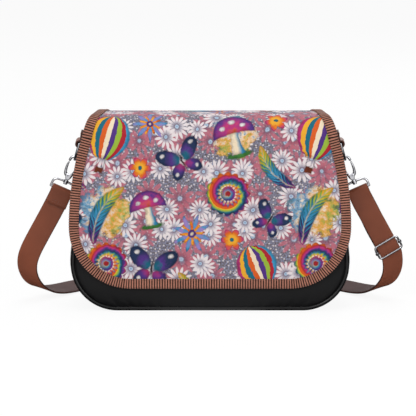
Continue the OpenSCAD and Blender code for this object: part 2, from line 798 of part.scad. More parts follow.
// Route of the strap's middle line on one side, from the straight run to behind the bag:
// shares of the reach, of the distance behind and of the eye bar's height, then the
// direction of its width: the angle round from the side and the angle of its rise
route_shares = [
  [0.9935, 0.0575, 0.403, 10, 24], [0.999, 0.070, 0.345, 19, 13], [1.000, 0.086, 0.300, 26, 5],
  [0.994, 0.118, 0.232, 30, 2], [0.975, 0.160, 0.158, 32, 4], [0.940, 0.218, 0.098, 32, 8],
  [0.895, 0.300, 0.062, 31, 13], [0.838, 0.420, 0.045, 32, 16], [0.770, 0.600, 0.040, 35, 17],
  [0.690, 0.790, 0.038, 46, 17], [0.590, 0.910, 0.038, 63, 17], [0.450, 0.970, 0.038, 78, 17],
  [0.300, 0.992, 0.038, 86, 17], [0.150, 1.000, 0.038, 89, 17]
];
lie_share = 0.038;
function route_point(side, row) = [
  [side * row[0] * strap_reach, row[1] * strap_back,
    strap_lie_h + (row[2] - lie_share) * (eye_bar_z - strap_lie_h) / (1 - lie_share)],
  turned(side, row[3], row[4])
];
straight_l = 13;
run_start_drop = eye_bar_drop + straight_l;
run_turn = 10;
function run_start(side) = [
  clip_point(side, 0, -side * layer_y, -run_start_drop), turned(side, run_turn, clip_tilt)
];
function route(side) = [for (row = route_shares) route_point(side, row)];
function reversed(list) = [for (i = [len(list) - 1:-1:0]) list[i]];

middle_stop = [[0, strap_back, strap_lie_h], turned(1, 90, 17)];
soft_part = concat(
  [run_start(-1)], route(-1), [middle_stop], reversed(route(1)), [run_start(1)]
);

// Smooth curve through all stops but the first and the last, which only give it its direction
function curve_at(a, b, c, d, t) =
  b + t * (c - a) / 2 + t * t * (a - 2.5 * b + 2 * c - d / 2) + t * t * t * (d - a + 3 * (b - c)) / 2;
function smooth(stops, steps) = [
  for (i = [1:len(stops) - 3]) for (k = [0:(i < len(stops) - 3 ? steps - 1 : steps)]) let (
    a = stops[i - 1], b = stops[i], c = stops[i + 1], d = stops[i + 2], t = k / steps
  ) [curve_at(a[0], b[0], c[0], d[0], t), curve_at(a[1], b[1], c[1], d[1], t)]
];

left_end = [
  [clip_point(-1, 0, -layer_y, -eye_bar_drop - strap_tab_l), turned(-1, 0, clip_tilt)],
  [clip_point(-1, 0, -layer_y, -eye_bar_drop - strap_tab_l / 2), turned(-1, 0, clip_tilt)]
];
eye_end_drop = eye_bar_drop + strap_t;
right_end = [[clip_point(1, 0, wrap_r, -eye_end_drop), turned(1, 0, clip_tilt)]];
strap_stops = concat(
  left_end, bar_turn(-1), [run_start(-1)], smooth(soft_part, 3), [run_start(1)], bar_turn(1), right_end
);

// Flat band swept through a list of middle points and width directions
function unit(v) = v / norm(v);
function along(stops, i) = unit(stops[min(i + 1, len(stops) - 1)][0] - stops[max(i - 1, 0)][0]);
function band_ring(stops, i, wide, thick) = let (
    t = along(stops, i),
    w = unit(stops[i][1] - (stops[i][1] * t) * t),
    n = cross(w, t),
    p = stops[i][0]
  ) [
    p - w * wide / 2 - n * thick / 2, p + w * wide / 2 - n * thick / 2,
    p + w * wide / 2 + n * thick / 2, p - w * wide / 2 + n * thick / 2
  ];
module band(stops, wide, thick) {
  last = len(stops) - 1;
  points = [for (i = [0:last]) each band_ring(stops, i, wide, thick)];
  sides = [
    for (i = [0:last - 1], k = [0:3]) let (a = 4 * i + k, b = 4 * i + (k + 1) % 4)
      each [[a, b, b + 4], [a, b + 4, a + 4]]
  ];
  polyhedron(points = points, faces = concat([[0, 2, 1], [0, 3, 2]], sides,
    [[4 * last, 4 * last + 1, 4 * last + 2], [4 * last, 4 * last + 2, 4 * last + 3]]));
}

module strap() {
  color("#764a3c") band(strap_stops, strap_w, strap_t);
}

// Straight run on the right, between the start of the run and the first stop of the route;
// the adjuster lies at its lower end
run_top = run_start(1)[0];
run_low = route(1)[0][0];
run_dir = unit(run_low - run_top);
run_wide = unit(run_start(1)[1] - (run_start(1)[1] * run_dir) * run_dir);
run_back = cross(run_wide, run_dir);
adjuster_mid = run_low - (adjuster_h / 2 + adjuster_rise) * run_dir;

// Frame of the adjuster: X across the strap, Y up along it, Z to the front
module on_run() {
  multmatrix([
    [run_wide.x, -run_dir.x, -run_back.x, adjuster_mid.x],
    [run_wide.y, -run_dir.y, -run_back.y, adjuster_mid.y],
    [run_wide.z, -run_dir.z, -run_back.z, adjuster_mid.z]
  ]) children();
}

frame_half = strap_w / 2 + 3 * run_gap + adjuster_wire_r;
knob_wall_share = 0.75;
frame_z = strap_t / 2 + run_gap + adjuster_wire_r;
bar_z = -(3 * strap_t / 2 + run_gap + sewn_gap + adjuster_bar_r);

// Rounded rectangle of wire that lies on the face of the strap
module adjuster_frame() {
  flat_x = frame_half - adjuster_corner_r;
  flat_y = adjuster_h / 2 - adjuster_wire_r - adjuster_corner_r;
  color("#d4d4d8") on_run() translate([0, 0, frame_z]) {
    for (side = [-1, 1]) {
      rod([-flat_x, side * (flat_y + adjuster_corner_r)], [flat_x, side * (flat_y + adjuster_corner_r)],
        adjuster_wire_r);
      rod([side * frame_half, -flat_y], [side * frame_half, flat_y], adjuster_wire_r);
    }
    for (quarter = [0:3]) translate([
      (quarter == 0 || quarter == 3 ? 1 : -1) * flat_x, (quarter < 2 ? 1 : -1) * flat_y, 0
    ]) rotate([0, 0, 90 * quarter]) rotate_extrude(angle = 90)
      translate([adjuster_corner_r, 0]) circle(r = adjuster_wire_r, $fn = 32);
  }
}

// Floating bar whose ends close round the sides of the frame
module adjuster_bar() {
  knob_r = adjuster_wire_r + pin_gap + knob_wall_share * adjuster_bar_r;
  color("#9a9a9e") on_run() difference() {
    union() {
      translate([0, 0, bar_z]) rod([-frame_half, 0], [frame_half, 0], adjuster_bar_r);
      for (side = [-1, 1]) translate([side * frame_half, 0, 0]) {
        translate([0, 0, bar_z]) cylinder(r = adjuster_bar_r, h = frame_z - bar_z);
        translate([0, 0, frame_z]) rotate([90, 0, 0])
          cylinder(r = knob_r, h = 2 * adjuster_bar_r, center = true);
      }
    }
    for (side = [-1, 1]) translate([side * frame_half, 0, frame_z]) rotate([90, 0, 0])
      cylinder(r = adjuster_wire_r + pin_gap, h = 2 * adjuster_h, center = true);
  }
}

end_wrap_r = adjuster_bar_r + sewn_gap + strap_t / 2;
end_l = 15;

// Local point of the adjuster's frame in the part's own frame
function run_point(y, z) = adjuster_mid - y * run_dir - z * run_back;

// Stitched end of the strap, turned round the adjuster's bar
module strap_end() {
  under = [
    for (i = [0:8]) let (a = i * 22.5)
      [run_point(-end_wrap_r * sin(a), bar_z + end_wrap_r * cos(a)), run_wide]
  ];
  color("#6d4438") band(concat(
    [[run_point(adjuster_h / 2, bar_z + end_wrap_r), run_wide]], under,
    [[run_point(end_l, bar_z - end_wrap_r), run_wide]]
  ), strap_w, strap_t);
}

// Second layer of the strap, from the eye back to the adjuster
module strap_return() {
  top = [clip_point(1, 0, wrap_r, -eye_end_drop - sewn_gap), turned(1, 0, clip_tilt)];
  low = [run_point(end_l + sewn_gap, bar_z - end_wrap_r), run_wide];
  color("#6d4438") band([
    top,
    [clip_point(1, 0, wrap_r, -eye_bar_drop - 4 * strap_t), turned(1, 0, clip_tilt)],
    [(top[0] + low[0]) / 2 + [0, strap_t / 2, 0], unit(top[1] + low[1])],
    [run_point(end_l + 4 * strap_t, bar_z - end_wrap_r), run_wide],
    low
  ], strap_w, strap_t);
}

front_panel();
back_panel();
gusset();
front_piping();
back_piping();
mouth_rim();
lining();
base_board();
pocket_bag();
zip_tape();
zip_teeth();
zip_slider();
zip_pull();
tail_cover();
tail_binding();
crown_cover();
crown_lining();
crown_binding();
flap_cover();
flap_lining();
flap_binding();
snap_socket();
snap_stud();
left_tab();
right_tab();
left_ring();
right_ring();
left_hook();
right_hook();
left_gate();
right_gate();
left_gate_pin();
right_gate_pin();
left_gate_spring();
right_gate_spring();
left_eye();
right_eye();
strap();
strap_return();
strap_end();
adjuster_frame();
adjuster_bar();
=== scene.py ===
import math

import bmesh
import bpy
from mathutils import Matrix, Vector, noise


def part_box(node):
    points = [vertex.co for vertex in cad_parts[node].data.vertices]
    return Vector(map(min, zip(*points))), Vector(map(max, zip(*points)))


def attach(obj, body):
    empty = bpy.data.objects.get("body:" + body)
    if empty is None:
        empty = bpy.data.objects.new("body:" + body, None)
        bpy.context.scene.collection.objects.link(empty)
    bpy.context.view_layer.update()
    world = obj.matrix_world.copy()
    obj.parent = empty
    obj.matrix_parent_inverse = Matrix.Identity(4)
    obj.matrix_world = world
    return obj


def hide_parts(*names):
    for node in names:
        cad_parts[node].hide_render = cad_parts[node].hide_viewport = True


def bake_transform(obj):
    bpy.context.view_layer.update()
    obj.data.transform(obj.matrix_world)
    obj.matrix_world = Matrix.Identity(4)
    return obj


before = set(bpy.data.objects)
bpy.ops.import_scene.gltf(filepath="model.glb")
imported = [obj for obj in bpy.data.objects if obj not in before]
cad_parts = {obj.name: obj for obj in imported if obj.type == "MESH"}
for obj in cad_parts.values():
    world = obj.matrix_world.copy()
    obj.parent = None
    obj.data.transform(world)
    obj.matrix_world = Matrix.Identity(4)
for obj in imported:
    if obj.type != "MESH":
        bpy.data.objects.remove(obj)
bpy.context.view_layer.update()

bl_info = {
    "name": "Shoulder Bag",
    "version": (1, 0, 0),
    "blender": (4, 5, 0),
    "location": "3D View > Sidebar > Bag",
    "description": "Dresses a shoulder bag in printed canvas, webbing, coated leather and plated metal",
    "category": "Object",
}

GUSSET_LOW, GUSSET_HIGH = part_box("gusset")
FLAP_LOW, FLAP_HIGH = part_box("flap_binding")
INSIDE = Vector((0.0, 0.0, 0.095))
PADDING_PRESSURE, PADDING_FRAMES, PADDING_RISE = 4.0, 20, 0.0011
FOLD_BLEND = 0.007
COVER_INSET = 0.0016
STITCH_PITCH, BINDING_STITCH_PITCH = 0.0030, 0.0032


# ---------------------------------------------------------------- sizes and colours


def linear(code):
    """Linear colour with full alpha from an sRGB hex value."""
    values = [int(code[i : i + 2], 16) / 255.0 for i in (1, 3, 5)]
    return tuple(v / 12.92 if v <= 0.04045 else ((v + 0.055) / 1.055) ** 2.4 for v in values) + (1.0,)


def length(name, description, default):
    return bpy.props.FloatProperty(name=name, description=description, default=default, unit="LENGTH", precision=5)


def tint(name, description, code):
    return bpy.props.FloatVectorProperty(
        name=name, description=description, default=linear(code), subtype="COLOR", size=4, min=0.0, max=1.0
    )


class BagSizes(bpy.types.PropertyGroup):
    body_width: length("Body width", "Widest width of the body", GUSSET_HIGH.x - GUSSET_LOW.x)
    base_depth: length("Base depth", "Depth of the body at its base", 0.090)
    mouth_height: length("Mouth height", "Height of the mouth above the base", GUSSET_HIGH.z - GUSSET_LOW.z)
    corner_radius: length("Corner radius", "Radius of the lower corners of the body", 0.047)
    side_slope: bpy.props.FloatProperty(
        name="Side slope", description="How far the sides slope in", default=math.radians(6.3), subtype="ANGLE"
    )
    panel_lean: bpy.props.FloatProperty(
        name="Panel lean", description="How far the panels lean in", default=math.radians(4.8), subtype="ANGLE"
    )
    panel_thickness: length("Panel thickness", "Thickness of the front and back panels", 0.0024)
    gusset_thickness: length("Gusset thickness", "Thickness of the gusset", 0.0018)
    piping_radius: length("Piping radius", "Radius of the piping cord", 0.0021)
    panel_puff: length("Panel puff", "How far the padding swells the panels", 0.0022)
    flap_width: length("Flap width", "Widest width of the flap", FLAP_HIGH.x - FLAP_LOW.x)
    flap_bottom: length("Flap bottom", "Height of the flap's edge along the front panel", 0.0225)
    flap_corner: length("Flap corner", "Radius of the flap's lower corners", 0.062)
    flap_side: length("Flap side", "Radius of the flap's curved sides", 0.310)
    fold_height: length("Fold height", "Height of the flap's two fold lines", 0.1754)
    bend_radius: length("Bend radius", "Radius of the flap's bends over the top", 0.020)
    cover_thickness: length("Cover thickness", "Thickness of the printed cover", 0.0016)
    flap_lining: length("Flap lining", "Thickness of the flap's lining", 0.0008)
    flap_stand: length("Flap stand", "Distance from the front panel to the flap", 0.0030)
    top_front_half: length("Top front half", "Half width at the front of the flat top", 0.1185)
    top_back_half: length("Top back half", "Half width at the back of the flat top", 0.1145)
    seam_half: length("Seam half", "Half width at the back seam", 0.105)
    tail_length: length("Tail length", "Height of the part that is sewn to the back", 0.030)
    binding_width: length("Binding width", "Width of the webbing binding", 0.010)
    binding_thickness: length("Binding thickness", "Thickness of the webbing", 0.0010)
    rib_pitch: length("Rib pitch", "Distance from one rib of the webbing to the next", 0.0026)
    rib_height: length("Rib height", "Height of a rib of the webbing", 0.0004)
    strap_width: length("Strap width", "Width of the strap", 0.022)
    strap_thickness: length("Strap thickness", "Thickness of the strap", 0.0020)
    stitch_length: length("Stitch length", "Length of one stitch", 0.0026)
    stitch_radius: length("Stitch radius", "Radius of the sewing thread", 0.00032)
    print_tile: length("Print repeat", "Distance after which the print repeats", 0.210)


class BagColours(bpy.types.PropertyGroup):
    black_leather: tint("Black leather", "Coated leather of the body", "#131314")
    piping: tint("Piping", "Leather over the piping cord", "#0d0d0e")
    webbing_light: tint("Webbing light", "Raised ribs of the binding", "#a56f5d")
    # Painted shade: this colour darkens the hollows between the webbing's ribs, where shade falls.
    webbing_hollow_shade: tint("Webbing dark", "Hollows between the ribs", "#140603")
    strap_face: tint("Strap face", "Smooth face of the strap", "#7a402a")
    strap_back: tint("Strap back", "Rough face of the strap", "#5f4a48")
    strap_edge: tint("Strap edge", "Painted edge of the strap", "#4a2a22")
    print_ground: tint("Print ground", "Ground of the print", "#707c98")
    bloom_rose: tint("Rose blooms", "Rose coloured blooms of the print", "#a95c69")
    bloom_pale: tint("Pale blooms", "Pale blooms of the print", "#cdc4c5")
    nickel: tint("Nickel", "Plated metal", "#cfcfd4")
    flap_cloth: tint("Flap cloth", "Cloth under the flap", "#27262b")
    lining_cloth: tint("Lining cloth", "Cloth inside the bag", "#4b4852")


def sizes():
    return bpy.context.scene.bag_sizes


def colours():
    return bpy.context.scene.bag_colours


# ---------------------------------------------------------------- mesh tools


def keep(mesh, name, material, body, slot, away_from=None, smooth=True):
    """Turns a bmesh into a finished piece that rides on a body."""
    if away_from is not None:
        mesh.normal_update()
        lean = sum(f.normal.dot(f.calc_center_median() - away_from) * f.calc_area() for f in mesh.faces)
        if lean < 0.0:
            bmesh.ops.reverse_faces(mesh, faces=mesh.faces[:])
    data = bpy.data.meshes.new(name)
    mesh.to_mesh(data)
    mesh.free()
    for polygon in data.polygons:
        polygon.use_smooth = smooth
    data.materials.append(material)
    piece = bpy.data.objects.new(name, data)
    bpy.context.scene.collection.objects.link(piece)
    if body:
        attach(piece, body)
    return piece


def sheet_mesh(columns, rows, place, pattern, value=None, closed=False, capped=False):
    """A grid whose points are moved to place(s, t), with its pattern coordinates kept in a UV map."""
    mesh = bmesh.new()
    bmesh.ops.create_grid(mesh, x_segments=columns, y_segments=rows, size=0.5)
    layer = mesh.loops.layers.uv.new("pattern")
    side = mesh.verts.layers.float.new("side")
    for face in mesh.faces:
        for loop in face.loops:
            loop[layer].uv = pattern(loop.vert.co.x + 0.5, loop.vert.co.y + 0.5)
    for vert in mesh.verts:
        s, t = vert.co.x + 0.5, vert.co.y + 0.5
        if value:
            vert[side] = value(s, t)
        vert.co = place(s, t)
    if closed:
        bmesh.ops.remove_doubles(mesh, verts=mesh.verts[:], dist=1e-7)
    if capped:
        edges = [e for e in mesh.edges if e.is_boundary]
        bmesh.ops.holes_fill(mesh, edges=edges, sides=0)
    if closed:
        bmesh.ops.recalc_face_normals(mesh, faces=mesh.faces[:])
    return mesh


def row_sheet(rows, columns, at):
    """A grid over rows of (half width, length), each point placed by at(x, length)."""
    last = len(rows) - 1

    def pattern(a, b):
        half, t = rows[round(b * last)]
        return (2 * a - 1) * half, t

    return sheet_mesh(columns, last, lambda a, b: at(*pattern(a, b)), pattern)


def thicken(piece, thickness, offset=-1.0):
    """Gives a sheet its thickness, inwards from its face unless the offset says otherwise."""
    wall = piece.modifiers.new("wall", "SOLIDIFY")
    wall.thickness = thickness
    wall.offset = offset
    return piece


def ring_section(radius, count):
    return [(radius * math.cos(math.tau * i / count), radius * math.sin(math.tau * i / count)) for i in range(count)]


def band_section(width, thickness, corner, across):
    """Closed section of a flat strap with rounded edges, as (across, up) points, anticlockwise."""
    half, rise = width / 2 - corner, thickness / 2 - corner
    points = []
    for quarter, (cx, cy) in enumerate(((half, rise), (-half, rise), (-half, -rise), (half, -rise))):
        for step in range(4):
            angle = math.radians(90 * quarter + 30 * step)
            points.append((cx + corner * math.cos(angle), cy + corner * math.sin(angle)))
        if quarter % 2 == 0:
            sign = 1 if quarter == 0 else -1
            for step in range(1, across):
                points.append((sign * (half - 2 * half * step / across), sign * thickness / 2))
    return points


def sweep_mesh(stops, section, capped=True, half_thickness=None, turned_over=0, swell=None):
    """Sweeps a closed section along stops of (middle point, direction of the section's width). The smooth face
    of the first stops is on the other side, as many as turned_over says. swell gives each stop's half sizes,
    across and up, for a section of radius one."""
    count = len(section)
    last = len(stops) - 1
    rings = []
    travel = [0.0]
    for i, (place, wide) in enumerate(stops):
        ahead = stops[min(i + 1, last)][0] - stops[max(i - 1, 0)][0]
        ahead.normalize()
        across = (wide - ahead * wide.dot(ahead)).normalized()
        up = ahead.cross(across)
        rings.append((place, across, up))
        if i:
            travel.append(travel[-1] + (place - stops[i - 1][0]).length)
    girth = [0.0]
    for i in range(count):
        a, b = Vector(section[i]), Vector(section[(i + 1) % count])
        girth.append(girth[-1] + (b - a).length)

    def place_at(s, t):
        place, across, up = rings[round(t * last)]
        u, v = section[round(s * count) % count]
        wide, tall = swell[round(t * last)] if swell else (1.0, 1.0)
        return place + across * u * wide + up * v * tall

    def pattern_at(s, t):
        return girth[round(s * count)], travel[round(t * last)]

    def value_at(s, t):
        if not half_thickness:
            return 0.0
        return section[round(s * count) % count][1] / half_thickness * (-1 if t * last < turned_over else 1)

    return sheet_mesh(count, last, place_at, pattern_at, value_at, closed=True, capped=capped)


def smoothed(stops, steps):
    """Catmull-Rom curve through the stops between the first and the last one."""

    def at(a, b, c, d, t):
        return (
            b
            + (c - a) * (t / 2)
            + (a - b * 2.5 + c * 2 - d / 2) * (t * t)
            + (d - a + (b - c) * 3) * (t * t * t / 2)
        )

    result = []
    for i in range(1, len(stops) - 2):
        a, b, c, d = stops[i - 1 : i + 3]
        count = steps + 1 if i == len(stops) - 3 else steps
        for k in range(count):
            t = k / steps
            result.append((at(a[0], b[0], c[0], d[0], t), at(a[1], b[1], c[1], d[1], t)))
    return result


def joined(parts):
    """One mesh of several."""
    whole = bmesh.new()
    for part in parts:
        data = bpy.data.meshes.new("part")
        part.to_mesh(data)
        part.free()
        whole.from_mesh(data)
        bpy.data.meshes.remove(data)
    return whole


def stitch_mesh(lines, radius):
    """Short rounded threads, each between two points."""
    mesh = bmesh.new()
    for start, end in lines:
        run = end - start
        turn = run.to_track_quat("Z", "Y").to_matrix().to_4x4()
        made = bmesh.ops.create_icosphere(mesh, subdivisions=1, radius=1.0)
        scale = Matrix.Diagonal((radius, radius, run.length / 2, 1.0))
        bmesh.ops.transform(mesh, matrix=Matrix.Translation((start + end) / 2) @ turn @ scale, verts=made["verts"])
    mesh.loops.layers.uv.new("pattern")
    return mesh


def stitches_along(points, pitch, stitch):
    """Start and end points of stitches along a polyline."""
    lines = []
    travel = 0.0
    marks = []
    for a, b in zip(points, points[1:]):
        span = (b - a).length
        while travel <= span:
            marks.append(a.lerp(b, travel / span))
            travel += pitch
        travel -= span
    for a, b in zip(marks, marks[1:]):
        middle = (a + b) / 2
        lines.append((middle.lerp(a, stitch / (b - a).length), middle.lerp(b, stitch / (b - a).length)))
    return lines


# ---------------------------------------------------------------- materials


def add(tree, kind, links=None, stops=None, interpolation="LINEAR", **settings):
    """Adds a node. An input takes a value, a socket, a node's first output, or a sum written as a list
    of its operation and values; stops are the places and colours of a colour ramp."""
    given = {}
    for key, value in (links or {}).items():
        if isinstance(value, list):
            value = add(tree, "Math", dict(enumerate(value[1:])), operation=value[0])
        given[key] = value.outputs[0] if isinstance(value, bpy.types.Node) else value
    item = tree.nodes.new("ShaderNode" + kind)
    for key, value in settings.items():
        setattr(item, key, value)
    if stops:
        item.color_ramp.interpolation = interpolation
        elements = item.color_ramp.elements
        while len(elements) < len(stops):
            elements.new(1.0)
        for element, (position, colour) in zip(elements, stops):
            element.position = position
            element.color = colour
    for key, value in given.items():
        if isinstance(value, bpy.types.NodeSocket):
            tree.links.new(value, item.inputs[key])
        else:
            item.inputs[key].default_value = value
    return item


def new_material(name):
    material = bpy.data.materials.new(name)
    material.use_nodes = True
    tree = material.node_tree
    return material, tree, tree.nodes["Principled BSDF"]


def surface(tree, shader, colour, bump, rough=None, **values):
    """Joins the finished colour, bump and roughness to the shader, and sets its uniform values."""
    for key, socket in (("Base Color", colour), ("Normal", bump.outputs[0]), ("Roughness", rough)):
        if socket is not None:
            tree.links.new(socket, shader.inputs[key])
    for key, value in values.items():
        shader.inputs[key.replace("_", " ")].default_value = value


MATERIALS = {}


def finish(name):
    if name not in MATERIALS:
        MATERIALS[name] = MAKERS[name](name)
    return MATERIALS[name]


def coated_leather(name, colour, roughness, grain_mm, depth, shine=0.14, shift=0.16):
    """Embossed coated leather: fine pebbled grain, a soft broad sheen and slightly uneven colour."""
    material, tree, shader = new_material(name)
    where = add(tree, "TexCoord").outputs["Object"]
    cells = add(tree, "TexVoronoi", {"Vector": where, "Scale": 1000.0 / grain_mm, "Randomness": 1.0})
    wide = add(tree, "TexNoise", {"Vector": where, "Scale": 14.0, "Detail": 4.0})
    pores = add(tree, "TexNoise", {"Vector": where, "Scale": 2600.0 / grain_mm, "Detail": 2.0})
    height = add(tree, "Math", {0: cells.outputs["Distance"], 1: pores.outputs[0]}, operation="ADD")
    bump = add(tree, "Bump", {"Height": height, "Distance": depth, "Strength": 0.55})
    dull = add(tree, "HueSaturation", {"Color": colour, "Value": 1.0 - shift})
    tone = add(tree, "MapRange", {0: wide.outputs[0], 1: 0.35, 2: 0.65})
    mixed = add(tree, "Mix", {0: tone, 6: dull, 7: colour}, data_type="RGBA")
    rough = add(tree, "MapRange", {0: wide.outputs[0], 1: 0.3, 2: 0.7, 3: roughness - 0.05, 4: roughness + 0.06})
    surface(tree, shader, mixed.outputs[2], bump, rough.outputs[0], Specular_IOR_Level=shine)
    return material


def make_brown_leather(name):
    """Smooth coated leather, with a suede-like back and painted edges told by the side attribute."""
    material, tree, shader = new_material(name)
    where = add(tree, "TexCoord").outputs["Object"]
    side = add(tree, "Attribute", attribute_name="side").outputs["Fac"]
    cells = add(tree, "TexVoronoi", {"Vector": where, "Scale": 1300.0})
    wide = add(tree, "TexNoise", {"Vector": where, "Scale": 30.0, "Detail": 5.0})
    fine = add(tree, "TexNoise", {"Vector": where, "Scale": 900.0, "Detail": 3.0})
    height = add(tree, "Math", {0: cells.outputs["Distance"], 1: fine.outputs[0]}, operation="ADD")
    bump = add(tree, "Bump", {"Height": height, "Distance": 0.00008, "Strength": 0.5})
    tone = add(tree, "MapRange", {0: wide.outputs[0], 1: 0.3, 2: 0.7, 3: 0.86, 4: 1.06})
    face = add(tree, "HueSaturation", {"Color": colours().strap_face, "Value": tone})
    rear = add(tree, "HueSaturation", {"Color": colours().strap_back, "Value": tone})
    turned = add(tree, "Math", {0: side, 1: 0.0}, operation="GREATER_THAN")
    both = add(tree, "Mix", {0: turned, 6: face, 7: rear}, data_type="RGBA")
    flat = add(tree, "Math", {0: side}, operation="ABSOLUTE")
    edge = add(tree, "MapRange", {0: flat, 1: 0.75, 2: 0.97, 3: 1.0, 4: 0.0})
    colour = add(tree, "Mix", {0: edge, 6: both.outputs[2], 7: colours().strap_edge}, data_type="RGBA")
    rough = add(tree, "MapRange", {0: turned, 3: 0.42, 4: 0.78})
    surface(tree, shader, colour.outputs[2], bump, rough.outputs[0], Specular_IOR_Level=0.28)
    return material


def make_webbing(name):
    """Ribbed woven tape: its ribs run across it, light on their crowns, with painted shade making the hollows between
    them dark.
    """
    material, tree, shader = new_material(name)
    uv = add(tree, "UVMap", uv_map="pattern")
    split = add(tree, "SeparateXYZ", {0: uv})
    turn = add(tree, "Math", {0: split.outputs[1], 1: math.tau / sizes().rib_pitch}, operation="MULTIPLY")
    wave = add(tree, "Math", {0: turn}, operation="COSINE")
    level = add(tree, "MapRange", {0: wave, 1: -1.0, 2: 1.0})
    yarn = add(tree, "Math", {0: split.outputs[0], 1: math.tau / 0.0007}, operation="MULTIPLY")
    strand = add(tree, "Math", {0: yarn}, operation="SINE")
    where = add(tree, "TexCoord").outputs["Object"]
    fuzz = add(tree, "TexNoise", {"Vector": where, "Scale": 700.0, "Detail": 4.0})
    wide = add(tree, "TexNoise", {"Vector": where, "Scale": 60.0, "Detail": 2.0})
    mixed = add(tree, "Math", {0: fuzz.outputs[0], 1: 0.5, 2: level}, operation="MULTIPLY_ADD")
    shown = add(tree, "MapRange", {0: mixed, 1: 0.45, 2: 0.95})
    # Painted shade: following the rib wave, the colour goes from the crowns' light colour to the dark painted shade in
    # the hollows.
    colour = add(tree, "Mix", {0: shown, 6: colours().webbing_hollow_shade, 7: colours().webbing_light}, data_type="RGBA")
    tone = add(tree, "MapRange", {0: wide.outputs[0], 1: 0.3, 2: 0.7, 3: 0.88, 4: 1.08})
    toned = add(tree, "HueSaturation", {"Color": colour.outputs[2], "Value": tone})
    height = add(tree, "Math", {0: strand, 1: 0.25, 2: level}, operation="MULTIPLY_ADD")
    bump = add(tree, "Bump", {"Height": height, "Distance": 0.0003, "Strength": 0.8})
    surface(tree, shader, toned.outputs[0], bump, Roughness=0.72, Specular_IOR_Level=0.15, Sheen_Weight=0.08)
    return material


def woven_cloth(name, colour, pitch_mm, roughness=0.85):
    """Plain woven cloth: two crossing sets of threads and a little fuzz."""
    material, tree, shader = new_material(name)
    where = add(tree, "TexCoord").outputs["Object"]
    warp, weft = (
        add(tree, "TexWave", {"Vector": where, "Scale": 320.0 / pitch_mm, "Distortion": 0.4}, bands_direction=way)
        for way in ("X", "Z")
    )
    both = add(tree, "Math", {0: warp.outputs["Fac"], 1: weft.outputs["Fac"]}, operation="MULTIPLY")
    fuzz = add(tree, "TexNoise", {"Vector": where, "Scale": 500.0, "Detail": 3.0})
    mixed = add(tree, "Math", {0: fuzz.outputs[0], 1: 0.6, 2: both}, operation="MULTIPLY_ADD")
    tone = add(tree, "MapRange", {0: mixed, 1: 0.2, 2: 1.3, 3: 0.72, 4: 1.15})
    toned = add(tree, "HueSaturation", {"Color": colour, "Value": tone})
    bump = add(tree, "Bump", {"Height": mixed, "Distance": 0.0002, "Strength": 0.5})
    surface(tree, shader, toned.outputs[0], bump, Roughness=roughness, Sheen_Weight=0.2)
    return material


def plated_metal(name, colour, roughness, spread):
    """Plated metal: mirror bright with faint smears and fine wear."""
    material, tree, shader = new_material(name)
    where = add(tree, "TexCoord").outputs["Object"]
    smear = add(tree, "TexNoise", {"Vector": where, "Scale": 260.0, "Detail": 5.0})
    rough = add(tree, "MapRange", {0: smear.outputs[0], 1: 0.35, 2: 0.75, 3: roughness, 4: roughness + spread})
    tone = add(tree, "MapRange", {0: smear.outputs[0], 1: 0.3, 2: 0.7, 3: 0.93, 4: 1.02})
    toned = add(tree, "HueSaturation", {"Color": colour, "Value": tone})
    bump = add(tree, "Bump", {"Height": smear.outputs[0], "Distance": 0.00002, "Strength": 0.2})
    surface(tree, shader, toned.outputs[0], bump, rough.outputs[0], Metallic=1.0)
    return material


def make_thread(name):
    """Polyester sewing thread: twisted strands with a slight sheen."""
    material, tree, shader = new_material(name)
    where = add(tree, "TexCoord").outputs["Object"]
    twist = add(tree, "TexNoise", {"Vector": where, "Scale": 2400.0, "Detail": 2.0})
    toned = add(tree, "HueSaturation", {"Color": linear("#5f3a30"), "Value": twist.outputs[0]})
    bright = add(tree, "Mix", {0: 0.5, 6: toned, 7: linear("#8a5b4c")}, data_type="RGBA")
    bump = add(tree, "Bump", {"Height": twist.outputs[0], "Distance": 0.0001, "Strength": 0.4})
    surface(tree, shader, bright.outputs[2], bump, Roughness=0.6)
    return material


MAKERS = {
    "coated_leather_black": lambda name: coated_leather(name, colours().black_leather, 0.46, 1.1, 0.00012),
    "coated_leather_piping": lambda name: coated_leather(name, colours().piping, 0.30, 0.9, 0.00004, shine=0.35),
    "coated_leather_brown": make_brown_leather,
    "ribbed_webbing_brown": make_webbing,
    "woven_flap_lining": lambda name: woven_cloth(name, colours().flap_cloth, 0.8),
    "woven_bag_lining": lambda name: woven_cloth(name, colours().lining_cloth, 0.7),
    "woven_zip_tape": lambda name: woven_cloth(name, linear("#2a2a30"), 0.6),
    "grey_board": lambda name: woven_cloth(name, linear("#8b7a64"), 2.2, 0.95),
    "nickel_plate_polished": lambda name: plated_metal(name, colours().nickel, 0.08, 0.10),
    "nickel_plate_satin": lambda name: plated_metal(name, linear("#b4b4ba"), 0.24, 0.12),
    "spring_steel": lambda name: plated_metal(name, linear("#9a9aa0"), 0.3, 0.15),
    "polyester_thread": make_thread,
}


def sew(lines, name, body, slot):
    """One piece of all the stitches in a group of seams."""
    return keep(stitch_mesh(lines, sizes().stitch_radius), name, finish("polyester_thread"), body, slot)


# ---------------------------------------------------------------- shapes of the body


def panel_place(x, v, out, back=False):
    """Point on the front or back panel: x across, v up along it and out from its inner face."""
    s = sizes()
    rise, run = math.sin(s.panel_lean), math.cos(s.panel_lean)
    y = -s.base_depth / 2 + s.panel_thickness + v * rise - out * run
    return Vector((x, -y if back else y, v * run + out * rise))


def plane_y(out, z):
    s = sizes()
    return s.base_depth / 2 - s.panel_thickness + out / math.cos(s.panel_lean) - z * math.tan(s.panel_lean)


def side_x(z, inset):
    s = sizes()
    reach = s.corner_radius - inset
    middle = s.body_width / 2 - s.corner_radius
    above = z - s.corner_radius - reach * math.sin(s.side_slope)
    return middle + reach * math.cos(s.side_slope) - above * math.tan(s.side_slope)


